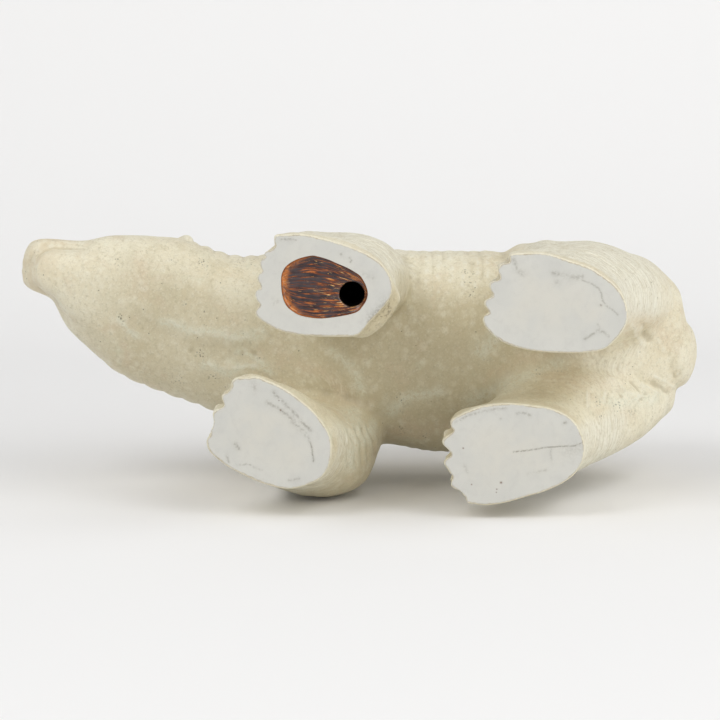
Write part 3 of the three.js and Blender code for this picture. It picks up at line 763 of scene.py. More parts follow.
def raw_bear():
    """The whole bear before its surface is worked: feet and lower legs finely, the rest more coarsely."""
    body = large_forms()
    bm = bmesh.new()
    bm.from_mesh(body.data)
    body_tree = BVHTree.FromBMesh(bm)
    bm.free()
    parts = [body, ears_and_tail()] + [paw(foot, body_tree) for foot in FEET]
    halves = []
    for name, grain, height, keep_above in (
        ("lower_half", PAW_GRAIN, LEG_SEAM + 7 * MM, False),
        ("upper_half", SKIN_GRAIN, LEG_SEAM - 9 * MM, True),
    ):
        bm = bmesh.new()
        for part in parts:
            piece = bmesh.new()
            piece.from_mesh(part.data)
            low = min(vert.co.z for vert in piece.verts)
            high = max(vert.co.z for vert in piece.verts)
            if high < height if keep_above else low > height:
                piece.free()
                continue
            if low < height < high:
                cut_level(piece, height, keep_above)
            mesh = bpy.data.meshes.new("half")
            piece.to_mesh(mesh)
            piece.free()
            bm.from_mesh(mesh)
            bpy.data.meshes.remove(mesh)
        half = new_piece(name, bm)
        remesh(half, grain)
        level = points_of(half.data)[:, 2]
        settle(half.data, 10, smooth_step(1.5 * MM, 12 * MM, level))
        settle(half.data, 2, 0.6)
        halves.append(half)
    for part in parts:
        bpy.data.objects.remove(part)
    upper = halves[1].data
    points = points_of(upper)
    root, axes = tail_axes()
    local = (points - np.array(root)) @ np.array(axes).T / MM
    ring = np.hypot(local[:, 0] / 17, local[:, 1] / 20)
    settle(upper, 14, bump(ring - 1.0, 0.22) * (points[:, 1] > 0.14), 0)
    for side in (1, -1):
        root, axes = ear_axes(side)
        local = (points - np.array(root)) @ np.array(axes).T / MM
        near = bump(np.hypot(local[:, 0], local[:, 1]) - 8, 3.5) * bump(local[:, 2], 5)
        settle(upper, 4, near, 0)
    return halves


def uneven(points, size, seed):
    """Soft random height between -1 and 1, the same on every run; size is the width of its lumps."""
    place = points / size + seed * 7.37
    cell = np.floor(place).astype(np.int64)
    part = place - cell
    part = part * part * (3 - 2 * part)
    total = np.zeros(len(points))
    primes = np.array([73856093, 19349663, 83492791])[: points.shape[1]]
    hashed = cell * primes
    for corner in np.ndindex(*(2,) * points.shape[1]):
        mixed = (hashed + np.array(corner) * primes).sum(1)
        mixed = (mixed + seed * 9176) * 2654435761 % 4294967296
        mixed = (mixed ^ (mixed >> 15)) * 2246822519 % 4294967296
        value = (mixed ^ (mixed >> 13)) % 65536 / 32767.5 - 1
        for axis, far in enumerate(corner):
            value = value * (part[:, axis] if far else 1 - part[:, axis])
        total += value
    return total


def seen_at(points):
    """Where the camera sees each point, in pixels of the 720 pixel square."""
    ahead = np.array([-math.sin(VIEW_TILT), 0, math.cos(VIEW_TILT)])
    up = np.array([math.cos(VIEW_TILT), 0, math.sin(VIEW_TILT)])
    offset = points - np.array(VIEW_CENTRE)
    depth = VIEW_DISTANCE + offset @ ahead
    across = HALF_FRAME + PIXELS_PER_UNIT * offset[:, 1] / depth
    down = HALF_FRAME - PIXELS_PER_UNIT * (offset @ up) / depth
    return np.stack([across, down], 1)


def near_line(places, corners):
    """Distance of each place from a line through corners, and how far along the line its nearest point is."""
    best = np.full(len(places), 1e9)
    along = np.zeros(len(places))
    corners = np.array(corners, float)
    for i, (a, b) in enumerate(zip(corners, corners[1:])):
        run = b - a
        share = np.clip(((places - a) @ run) / (run @ run), 0, 1)
        distance = np.linalg.norm(places - a - share[:, None] * run, axis=1)
        closer = distance < best
        best[closer] = distance[closer]
        along[closer] = (i + share[closer]) / (len(corners) - 1)
    return best, along


def bump(distance, width):
    """Soft bell that is 1 at no distance and fades out over a few widths."""
    return np.exp(-((distance / width) ** 2))


def worked_lines(points, facing, seen):
    """Folds, carved strokes and the mouth, drawn where the camera sees them."""
    height = np.zeros(len(points))
    sway = np.stack([uneven(points, 5 * MM, 61), uneven(points, 5 * MM, 62)], 1)
    broken = uneven(points, 3.2 * MM, 63)
    for corners, deep, wide in NECK_FOLDS + HIND_CARVING + ELBOW_WAVES + MOUTH_LINES:
        corners = np.array(corners)
        low, high = corners.min(0) - 4 * wide, corners.max(0) + 4 * wide
        near = np.nonzero(((seen > low) & (seen < high)).all(1) & (facing > 0))[0]
        if not len(near):
            continue
        calm = 0.2 if wide < 2.6 and low[0] < 90 else 1
        distance, along = near_line(seen[near] + calm * min(wide, 3) * 0.4 * sway[near], corners)
        ends = smooth_step(0, 0.12, along) * (1 - smooth_step(0.88, 1, along)) * 0.6 + 0.4
        share = bump(distance, wide) * (1 + calm * 0.35 * broken[near]) * ends
        height[near] += deep * facing[near] * share
    return height


def comb_legs(points, normals):
    """Strokes of the comb round the backs of the legs: their lie on the surface and how strong they are."""
    across, along, strength = np.zeros((3, len(points)))
    height = points[:, 2]
    for number, foot in enumerate(FEET):
        offset = points - np.array(FEET[foot])
        turn = np.arctan2(offset[:, 0], offset[:, 1])
        out = np.hypot(offset[:, 0], offset[:, 1])
        side = 1 if foot.startswith("left") else -1
        behind = smooth_step(-0.35, 0.5, np.cos(turn - side * 0.55))
        reach = 66 if "hind" in foot else 46
        close = 1 - smooth_step((reach - 14) * MM, reach * MM, out)
        rise = smooth_step(5 * MM, 12 * MM, height) * (1 - smooth_step(100 * MM, 130 * MM, height))
        outer = smooth_step(-0.15, 0.45, normals[:, 0] * side + 0.6 * normals[:, 1])
        share = behind * close * rise * outer
        drift = uneven(points, 11 * MM, 3 + number) * 1.6 * MM
        mine = share > strength
        across[mine] = (height + 0.75 * out + drift)[mine]
        along[mine] = (turn * 34 * MM + 1.5 * drift)[mine]
        strength = np.maximum(strength, share)
    return across, along, strength


def flank_scales(points):
    """Rows of small scale-like touches down the flanks behind the forelegs."""
    x, y, z = points.T
    row = np.sin(2 * math.pi * (y + 1.3 * MM * uneven(points, 12 * MM, 6)) / (6.3 * MM))
    share = smooth_step(14 * MM, 26 * MM, y) * (1 - smooth_step(60 * MM, 80 * MM, y))
    share *= smooth_step(26 * MM, 40 * MM, x) + 0.5 * smooth_step(26 * MM, 40 * MM, -x)
    share *= 1 - smooth_step(105 * MM, 128 * MM, z)
    touches = uneven(points * np.array([1.6, 1, 1]), 3.1 * MM, 7)
    return share * (0.33 * row * (0.7 + 0.6 * touches) + 0.29 * touches)


def ruff(points, normals):
    """Scalloped edge of the ruff along both sides of the neck."""
    y, z = points[:, 1] / MM, points[:, 2] / MM
    height = np.zeros(len(points))
    for side, (period, sharpness, first, last, middle, spread, depth) in RUFF.items():
        run = y + 1.2 * uneven(points, 16 * MM, 9 + side)
        wave = np.abs(np.cos(math.pi * run / period)) ** sharpness - 0.55
        outer = smooth_step(0.35, 0.85, normals[:, 0] * side)
        share = smooth_step(first, first + 10, y) * (1 - smooth_step(last - 10, last, y))
        height += outer * share * bump(z - middle, spread) * wave * depth
    return height


def face(points, normals):
    """Eyes, nose, ears and brow."""
    back, left, up = head_places(points)
    height = np.zeros(len(points))
    for side in (1, -1):
        eye = np.array(on_head(40, side * 22.6, 114.2))
        near = np.linalg.norm(points - eye, axis=1) / MM
        height += -1.8 * bump(near, 4.2) + 2.1 * bump(near, 2.0)
        lid = np.linalg.norm(points - np.array(on_head(41.5, side * 21, 118.5)), axis=1) / MM
        height += 0.7 * bump(lid, 5)
        nostril = np.hypot(np.hypot((left - side * 4.2) / 1.3, up - 101.5), back * 0.25)
        height -= 1.1 * bump(nostril, 1.5) * (back < 9)
        cheek = np.linalg.norm(points - np.array(on_head(19, side * 14, 97)), axis=1) / MM
        height += 0.6 * bump(cheek, 7)
        root, axes = ear_axes(side)
        local = (points - np.array(root)) @ np.array(axes).T / MM
        cup = bump(local[:, 0], 4.6) * bump(local[:, 2] - 5.5, 4.6)
        height -= 2.6 * cup * smooth_step(0.1, 0.6, normals @ np.array(axes[1]))
    pad = bump(left, 7.5) * bump(up - 104, 5.5) * (1 - smooth_step(7, 12, back))
    height += 0.5 * pad - 0.8 * bump(left, 0.7) * bump(up - 97.5, 4.5) * (1 - smooth_step(5, 9, back))
    groove = 0.35 * bump(left, 3.0) * smooth_step(14, 24, back)
    height -= groove * (1 - smooth_step(40, 56, back)) * (up > 100)
    return height


def toe_notches(foot):
    """Inward corners of a sole's edge between its toes, from the middle of the foot."""
    corners = np.array(PAW_EDGES[foot])
    before = np.roll(corners, 1, 0)
    into, out = corners - before, np.roll(corners, -1, 0) - corners
    turn = into[:, 0] * out[:, 1] - into[:, 1] * out[:, 0]
    around = np.sum(before[:, 0] * corners[:, 1] - corners[:, 0] * before[:, 1])
    return [corner for corner, t in zip(corners, turn * np.sign(around)) if t < -1.2 and corner[1] < -12]


def carve_toes(points):
    """Draws the grooves between the toes up the front of each paw, as deep as the sole shows them."""
    moved = points.copy()
    for foot in FEET:
        middle = np.array(FEET[foot])
        place = (points - middle)[:, :2] / MM
        height = points[:, 2] / MM
        near = np.nonzero((np.hypot(place[:, 0], place[:, 1]) < 50) & (height < 36))[0]
        place, height = place[near], height[near]
        for notch in toe_notches(foot):
            outward = notch / np.linalg.norm(notch)
            offset = place - notch
            ahead = offset @ outward
            across = offset @ np.array([-outward[1], outward[0]])
            wide = 1.7 + 0.035 * height
            share = bump(across, wide) * (1 - smooth_step(18, 33, height)) * (place @ outward > 10)
            share *= smooth_step(0.15, 1.0, height)
            push = np.clip(ahead + 1.1 - 0.03 * height, 0, 6) * share
            moved[near, :2] -= outward * (push * MM)[:, None]
    return moved


def eased_forms(points):
    """Small corrections of the large forms by soft pulls where the camera sees them, and the knocked heel."""
    moved = points.copy()
    x, y, z = points.T / MM
    flank = smooth_step(8, 42, y) * (1 - smooth_step(72, 112, y)) * smooth_step(18, 46, -x)
    flank *= smooth_step(55, 75, z) * (1 - smooth_step(128, 150, z))
    moved[:, 0] -= 4.2 * MM * flank
    seen = seen_at(points)
    for place, radius, (up, right), (low, high) in PULLS:
        share = bump(np.hypot(seen[:, 0] - place[0], seen[:, 1] - place[1]), radius)
        share *= smooth_step(low, low + 30, z) * (1 - smooth_step(high, high + 30, z))
        moved[:, 0] += up * MM * share
        moved[:, 1] += right * MM * share
    middle = np.array(FEET["left_fore"])
    place = (points - middle)[:, :2] / MM
    distance, _ = near_line(place, SPREAD_HEEL)
    spread = bump(distance, 6.5) * smooth_step(0.6, 9, z) * (1 - smooth_step(13, 30, z))
    outward = place / np.maximum(np.hypot(place[:, 0], place[:, 1]), 1)[:, None]
    moved[:, :2] += outward * (4.6 * MM * spread)[:, None]
    return moved


def chipped_heel(points):
    """How close a point is to the knocked and glazed-over corner of the left fore heel, from 0 to 1."""
    place = (points - np.array(FEET["left_fore"]))[:, :2] / MM
    distance, _ = near_line(place, CHIPPED_HEEL)
    spot = bump(np.hypot(place[:, 0] - CHIP_SPOT[0], place[:, 1] - CHIP_SPOT[1]), 5)
    return bump(distance, 5.5) * (1 - smooth_step(9 * MM, 16 * MM, points[:, 2])) * (0.35 + 0.65 * spot)


def worked_surface(half):
    """Everything the maker's fingers and tools left on the surface, and the values the glaze follows."""
    mesh = half.data
    points = eased_forms(carve_toes(points_of(mesh)))
    set_points(mesh, points)
    normals = normals_of(mesh)
    seen = seen_at(points)
    toward = normals @ np.array([math.sin(VIEW_TILT), 0, -math.cos(VIEW_TILT)])
    facing = smooth_step(-0.05, 0.25, toward)
    height = sum(tall * uneven(points, wide * MM, seed) for tall, wide, seed in SWELLS)

    across, along, strength = comb_legs(points, normals)
    strokes = uneven(np.stack([across / (1.4 * MM), along / (7.5 * MM)], 1), 1, 21)
    strokes += 0.8 * uneven(np.stack([across / (2.6 * MM), along / (12 * MM)], 1), 1, 22)
    height += 0.25 * strength * strokes

    height += flank_scales(points) + ruff(points, normals) + face(points, normals)
    height += worked_lines(points, facing, seen)
    chip = chipped_heel(points)
    height += chip * (0.4 * uneven(points, 2.2 * MM, 71) - 0.4)
    height *= smooth_step(1.0 * MM, 4.5 * MM, points[:, 2])
    set_points(mesh, points + normals * (height * MM)[:, None])

    pinholes = np.zeros(len(points))
    for x, y, radius in PINHOLES:
        distance = np.hypot(seen[:, 0] - x, seen[:, 1] - y)
        pinholes = np.maximum(pinholes, bump(distance, radius) * (facing > 0.3))
    back, _, _ = head_places(points)
    keep_attribute(mesh, "across", across / MM)
    keep_attribute(mesh, "along", along / (7.5 * MM))
    keep_attribute(mesh, "combed", strength)
    keep_attribute(mesh, "pinholes", pinholes)
    for name, patches in (("bloom", BLOOM), ("warm", WARM)):
        share = np.zeros(len(points))
        sway = np.stack([uneven(points, 9 * MM, 81), uneven(points, 9 * MM, 82)], 1)
        for corners, wide in patches:
            distance, _ = near_line(seen + 4 * sway, corners)
            share = np.maximum(share, bump(distance, wide) * (facing > 0.1))
        keep_attribute(mesh, name, share)
    keep_attribute(mesh, "chip", chip)
    keep_attribute(mesh, "muzzle", 1 - smooth_step(9, 26, back))
    keep_attribute(mesh, "pooling_and_shade", pooled_glaze_and_shade(points, normals))
    hollow, wide_hollow = hollowness(mesh, (5, 45))
    keep_attribute(mesh, "hollow", hollow)
    keep_attribute(mesh, "wide_hollow", wide_hollow)


def pooled_glaze_and_shade(points, normals):
    """Where the glaze is darkest and brownest, from 0 to 1: faces turned down or inward between the legs and
    under the neck, partly glaze lying thickest there and partly painted shade.
    """
    y, z = points[:, 1] / MM, points[:, 2] / MM
    under = smooth_step(-0.25, 0.75, -normals[:, 2])
    middle = smooth_step(-45, 5, y) * (1 - smooth_step(85, 125, y))
    throat = smooth_step(-165, -110, y) * (1 - smooth_step(-45, 5, y))
    sides = 1 - 0.75 * smooth_step(0.1, 0.8, normals[:, 0])
    inner = 0.55 * smooth_step(0.2, 0.8, -normals[:, 0] * np.sign(points[:, 0])) * (z < 90)
    share = under * sides * (1.1 * middle + 0.62 * throat) + inner * (middle + 0.4 * throat)
    return np.clip(share, 0, 1)


def hollowness(mesh, passes):
    """How far each point lies below its surroundings, in millimetres, for a narrow and a wide round."""
    points, around, normals = points_of(mesh), neighbours_of(mesh), normals_of(mesh)
    level, found = points.copy(), []
    for number in range(max(passes)):
        level = 0.5 * (level + average_round(level, around))
        if number + 1 in passes:
            found.append(((level - points) * normals).sum(1) / MM)
    return found


def keep_attribute(mesh, name, values):
    """Gives each point of a mesh a value that the finishes can read."""
    attribute = mesh.attributes.new(name, "FLOAT", "POINT")
    attribute.data.foreach_set("value", np.asarray(values, np.float32))


def seam_plane(node):
    """Place and direction of the largest flat face of a casting."""
    bm = merged_castings([node])
    planes = {}
    for face in bm.faces:
        key = (*[round(n, 3) for n in face.normal], round(face.normal.dot(face.verts[0].co), 4))
        area, _, _ = planes.get(key, (0, None, None))
        planes[key] = (area + face.calc_area(), face.verts[0].co.copy(), face.normal.copy())
    bm.free()
    _, place, normal = max(planes.values(), key=lambda plane: plane[0])
    return place, normal


def lump_seam(points, root, axes, wide, long):
    """Plane across the foot of a pressed-on lump, just clear of the skin round it."""
    local = (points - np.array(root)) @ np.array(axes).T / MM
    ring = np.hypot(local[:, 0] / wide, local[:, 1] / long)
    around = (ring > 1) & (ring < 1.3) & (np.abs(local[:, 2]) < 16)
    level = local[around, 2].max() + 0.25
    return root + axes[2] * level * MM


def cut_open(bm, place, normal, belongs):
    """Cuts the skin apart along a plane, only where the faces belong to the joint."""
    place, normal = np.array(place), np.array(normal)
    centres = np.array([face.calc_center_median() for face in bm.faces])
    near = belongs(centres) & (np.abs((centres - place) @ normal) < 3 * MM)
    bm.faces.ensure_lookup_table()
    faces = [bm.faces[i] for i in np.nonzero(near)[0]]
    geom = set(faces)
    for face in faces:
        geom.update(face.verts)
        geom.update(face.edges)
    cut = bmesh.ops.bisect_plane(bm, geom=list(geom), dist=1e-8, plane_co=place, plane_no=normal)["geom_cut"]
    edges = [item for item in cut if isinstance(item, bmesh.types.BMEdge)]
    bmesh.ops.split_edges(bm, edges=edges)


def everywhere(centres):
    """Lets a seam run right through, whatever the faces belong to."""
    return np.ones(len(centres), bool)


def cut_at_seams(half, lower):
    """Cuts half the bear off at the legs' seam, and apart at the other joints of its castings."""
    bm = bmesh.new()
    bm.from_mesh(half.data)
    bmesh.ops.bisect_plane(
        bm,
        geom=bm.verts[:] + bm.edges[:] + bm.faces[:],
        dist=1e-8,
        plane_co=(0, 0, LEG_SEAM),
        plane_no=(0, 0, 1),
        clear_inner=not lower,
        clear_outer=lower,
    )
    if lower:
        cut_open(bm, (0, 0, SOLE_SEAM), (0, 0, 1), everywhere)
    else:
        points = np.array([vert.co for vert in bm.verts])
        cut_open(bm, *seam_plane("head_and_neck"), everywhere)
        lumps = [(*ear_axes(side), *EAR_SEAM) for side in (1, -1)] + [(*tail_axes(), *TAIL_SEAM)]
        for root, axes, wide, long, reach in lumps:
            place = lump_seam(points, root, axes, wide, long)
            middle = np.array(root)
            cut_open(bm, place, axes[2], lambda at: np.linalg.norm(at - middle, axis=1) < reach * MM)
    bm.to_mesh(half.data)
    bm.free()


def loose_parts(half):
    """The parts that half the bear falls into, each as an object."""
    for item in bpy.context.view_layer.objects:
        item.select_set(item == half)
    bpy.context.view_layer.objects.active = half
    bpy.ops.object.mode_set(mode="EDIT")
    bpy.ops.mesh.select_all(action="SELECT")
    bpy.ops.mesh.separate(type="LOOSE")
    bpy.ops.object.mode_set(mode="OBJECT")
    return [item for item in bpy.context.view_layer.objects if item.select_get() or item == half]


def close_piece(piece):
    """Makes the skin of a piece smooth and caps its seams flat."""
    bm = bmesh.new()
    bm.from_mesh(piece.data)
    for face in bm.faces:
        face.smooth = True
    for face in close_ends(bm):
        face.smooth = False
        for edge in face.edges:
            edge.smooth = False
    bm.to_mesh(piece.data)
    bm.free()


def cast_pieces(halves):
    """The worked bear cut apart at the joints of its castings, each piece closed."""
    pieces = {}
    for half in halves:
        lower = half.name.startswith("lower")
        cut_at_seams(half, lower)
        for item in loose_parts(half):
            name = piece_name(points_of(item.data), lower)
            # Of two parts with one name, the smaller is a crumb that a seam left over
            if name in pieces:
                smaller = min(item, pieces[name], key=lambda one: len(one.data.vertices))
                item = pieces[name] if smaller == item else item
                bpy.data.objects.remove(smaller)
            pieces[name] = item
    for name, item in pieces.items():
        item.name = name + "_skin"
        close_piece(item)
    return pieces


def piece_name(points, lower):
    """Name of the casting that a loose part of the skin belongs to."""
    low, high = points.min(0), points.max(0)
    middle = Vector((low + high) / 2)
    if lower:
        foot = min(FEET, key=lambda name: (FEET[name] - Vector((middle.x, middle.y, 0))).length)
        return f"{foot}_sole" if high[2] < SOLE_SEAM + 1 * MM else f"{foot}_leg"
    for side, name in ((1, "left_ear"), (-1, "right_ear")):
        if (middle - on_head(EAR_BACK, side * EAR_OUT, EAR_UP)).length < 16 * MM:
            return name
    if low[1] > 0.15:
        return "tail"
    return "head_and_neck" if low[1] < -0.12 else "trunk"


def edge_of_sole(foot):
    """Edge of a sole as points on the ground, in metres."""
    middle = np.array(FEET[foot])[:2]
    return through_points(PAW_EDGES[foot], PAW_CORNERS) * MM + middle


def distance_inside(places, edge):
    """Distance of flat places from a closed edge, in millimetres, positive inside it."""
    places, edge = places.astype(np.float32), edge.astype(np.float32)
    nearest = np.empty(len(places), np.float32)
    for start in range(0, len(places), 4000):
        part = places[start : start + 4000]
        apart = (part[:, :1] - edge[:, 0]) ** 2 + (part[:, 1:] - edge[:, 1]) ** 2
        nearest[start : start + 4000] = np.sqrt(apart.min(1))
    inside = np.zeros(len(places), bool)
    for (ax, ay), (bx, by) in zip(edge, np.roll(edge, -1, 0)):
        crosses = np.nonzero((ay > places[:, 1]) != (by > places[:, 1]))[0]
        beyond = places[crosses, 0] < (bx - ax) * (places[crosses, 1] - ay) / (by - ay + 1e-12) + ax
        inside[crosses[beyond]] ^= True
    return np.where(inside, nearest, -nearest) / MM


def cut_with(piece, cutter):
    """Cuts one piece out of another."""
    modifier = piece.modifiers.new("cut", "BOOLEAN")
    modifier.operation = "DIFFERENCE"
    modifier.solver = "EXACT"
    modifier.material_mode = "TRANSFER"
    modifier.object = cutter
    with_modifiers(piece)
    bpy.data.objects.remove(cutter)


def finer_sole(piece):
    """The level underside of a sole in small squares, fine enough for scratches."""
    bm = bmesh.new()
    bm.from_mesh(piece.data)
    level = [edge for edge in bm.edges if all(vert.co.z < 0.35 * MM for vert in edge.verts)]
    bmesh.ops.subdivide_edges(bm, edges=level, cuts=2, use_grid_fill=True)
    bm.to_mesh(piece.data)
    bm.free()


def panel_prism():
    """Block with the outline of the glazed hollow, to cut the sole open with."""
    middle = FEET["left_fore"]
    edge = through_points(PANEL_EDGE, 180) * MM
    bm = bmesh.new()
    bmesh.ops.create_circle(bm, cap_ends=True, segments=len(edge), radius=1)
    ring = sorted(bm.verts, key=lambda vert: math.atan2(vert.co.y, vert.co.x))
    for vert, (x, y) in zip(ring, edge[np.argsort(np.arctan2(edge[:, 1], edge[:, 0]))]):
        vert.co = (middle.x + x, middle.y + y, -1 * MM)
    made = bmesh.ops.extrude_face_region(bm, geom=bm.faces[:])["geom"]
    top = [item for item in made if isinstance(item, bmesh.types.BMVert)]
    bmesh.ops.translate(bm, vec=(0, 0, 9 * MM), verts=top)
    bmesh.ops.recalc_face_normals(bm, faces=bm.faces)
    return new_piece("panel_cutter", bm)


def glazed_panel():
    """Shallow dish of brown glaze let into the left fore sole, with the round vent through it."""
    middle = FEET["left_fore"]
    edge = through_points(PANEL_EDGE, 900) * MM + np.array(middle)[:2]
    vent = np.array(middle)[:2] + np.array(VENT_PLACE) * MM
    bm = bmesh.new()
    bmesh.ops.create_grid(bm, x_segments=150, y_segments=190, size=0.5)
    scale = Matrix.Diagonal((36 * MM, 46 * MM, 1, 1))
    bmesh.ops.transform(bm, matrix=Matrix.Translation(middle) @ scale, verts=bm.verts)
    places = np.array([vert.co.xy for vert in bm.verts])
    inside = distance_inside(places, edge) - PANEL_GAP
    from_vent = np.linalg.norm(places - vent, axis=1) / MM - VENT_RADIUS
    out = (inside < 0) | (from_vent < 0)
    bm.verts.ensure_lookup_table()
    bmesh.ops.delete(bm, geom=[bm.verts[i] for i in np.nonzero(out)[0]], context="VERTS")
    for vert in bm.verts:
        if not vert.is_boundary:
            continue
        place = np.array(vert.co.xy)
        outward = place - vent
        if np.linalg.norm(outward) / MM - VENT_RADIUS < 0.7:
            vert.co.xy = vent + outward / np.linalg.norm(outward) * VENT_RADIUS * MM
        else:
            nearest = edge[np.linalg.norm(edge - place, axis=1).argmin()]
            inward = np.array(middle)[:2] - nearest
            vert.co.xy = nearest + inward / np.linalg.norm(inward) * PANEL_GAP * MM
    for _ in range(2):
        bmesh.ops.smooth_vert(
            bm,
            verts=[vert for vert in bm.verts if not vert.is_boundary],
            factor=0.5,
            use_axis_x=True,
            use_axis_y=True,
            use_axis_z=False,
        )
    places = np.array([vert.co.xy for vert in bm.verts])
    inside = np.maximum(distance_inside(places, edge), 0)
    from_vent = np.linalg.norm(places - vent, axis=1) / MM - VENT_RADIUS
    turned = places - vent
    brushed = uneven(np.stack([turned[:, 0] / (0.9 * MM), turned[:, 1] / (12 * MM)], 1), 1, 41)
    dish = 0.1 + PANEL_DEPTH * (1 - np.exp(-inside / 0.7))
    depth = dish + 0.09 * brushed + 0.7 * np.exp(-from_vent / 0.5)
    for vert, z in zip(bm.verts, depth):
        vert.co.z = z * MM
    made = bmesh.ops.extrude_face_region(bm, geom=bm.faces[:])["geom"]
    for item in made:
        if isinstance(item, bmesh.types.BMVert):
            item.co.z = 5.9 * MM
    bmesh.ops.recalc_face_normals(bm, faces=bm.faces)
    for face in bm.faces:
        face.smooth = abs(face.normal.z) > 0.3 or face.calc_center_median().z < 2 * MM
    for item in bm.edges:
        if len(item.link_faces) == 2 and item.calc_face_angle(0) > 1.0:
            item.smooth = False
    panel = new_piece("stamp_panel_glazed", bm)
    keep_panel_values(panel.data, edge, vent)
    return panel


def keep_panel_values(mesh, edge, vent):
    """Distances from the panel's edge and its vent, and places across and along the brush strokes."""
    middle = np.array(FEET["left_fore"])[:2]
    points = points_of(mesh)
    inside = distance_inside(points[:, :2], edge)
    keep_attribute(mesh, "from_edge", inside)
    from_vent = np.linalg.norm(points[:, :2] - vent, axis=1) / MM - VENT_RADIUS
    keep_attribute(mesh, "from_vent", from_vent)
    local = (points[:, :2] - middle) / MM
    corners = edge / MM - middle / MM
    far, near = corners[corners[:, 0] > 0.5], corners[corners[:, 0] < -0.5]
    high = np.interp(local[:, 1], *far[np.argsort(far[:, 1])][:, ::-1].T)
    low = np.interp(local[:, 1], *near[np.argsort(near[:, 1])][:, ::-1].T)
    share = (local[:, 0] - low) / np.maximum(high - low, 4)
    keep_attribute(mesh, "across", share * 28)
    keep_attribute(mesh, "along", local[:, 1] / 10)
    keep_attribute(mesh, "left_end", 1 - smooth_step(0.5, 4.3, inside + 0.3 * (local[:, 1] + 15)))


def vent_bore(bore_shade):
    """Bar that bores the way up into the leg behind the vent, and lines the bore with near-black painted
    shade.
    """
    place = FEET["left_fore"] + Vector((*VENT_PLACE, 0)) * MM
    bm = bmesh.new()
    depth = VENT_DEPTH * MM
    round_bar(bm, (VENT_RADIUS + 0.6) * MM, depth, place + Vector((0, 0, depth / 2 + 4 * MM)), 64)
    for face in bm.faces:
        face.smooth = len(face.verts) == 4
    cutter = new_piece("bore_cutter", bm)
    cutter.data.materials.append(bore_shade)
    return cutter


def marks_on_sole(piece, foot, glaze, clay):
    """Glaze lip round the bare clay, and the scuffs, cracks and specks on it."""
    mesh = piece.data
    points = points_of(mesh)
    flat = points[:, :2]
    inside = distance_inside(flat, edge_of_sole(foot)) - 0.75
    inside = np.where(points[:, 2] < 0.3 * MM, inside, -2)
    keep_attribute(mesh, "bare", inside)
    local = (flat - np.array(FEET[foot])[:2]) / MM
    rough = uneven(points, 0.9 * MM, 51)
    wide = uneven(points, 4 * MM, 52)
    dark, brown = np.zeros(len(points)), np.zeros(len(points))
    for corners, half_width, strength, broken in SOLE_MARKS[foot]:
        if len(corners) == 1:
            distance = np.linalg.norm(local - corners[0], axis=1)
        else:
            sway = np.stack([uneven(points, 2.2 * MM, 53), uneven(points, 2.2 * MM, 54)], 1)
            distance, _ = near_line(local + 0.35 * sway * min(1, half_width), corners)
        share = (0.62 * bump(distance, 1.15 * half_width) + 0.3 * bump(distance, 2.6 * half_width)) * strength
        share *= np.clip(1 - broken * (0.35 + 0.6 * rough + 0.5 * wide), 0, 1)
        dark = np.maximum(dark, share)
    for place, radius in SOLE_SPECKS[foot]:
        brown = np.maximum(brown, bump(np.linalg.norm(local - place, axis=1), radius))
    keep_attribute(mesh, "scuffed", dark)
    keep_attribute(mesh, "speck", brown)
    mesh.materials.clear()
    mesh.materials.append(glaze)
    mesh.materials.append(clay)
    under = np.zeros(len(mesh.polygons), np.int32)
    for polygon in mesh.polygons:
        under[polygon.index] = all(inside[i] > -0.5 for i in polygon.vertices)
    mesh.polygons.foreach_set("material_index", under)


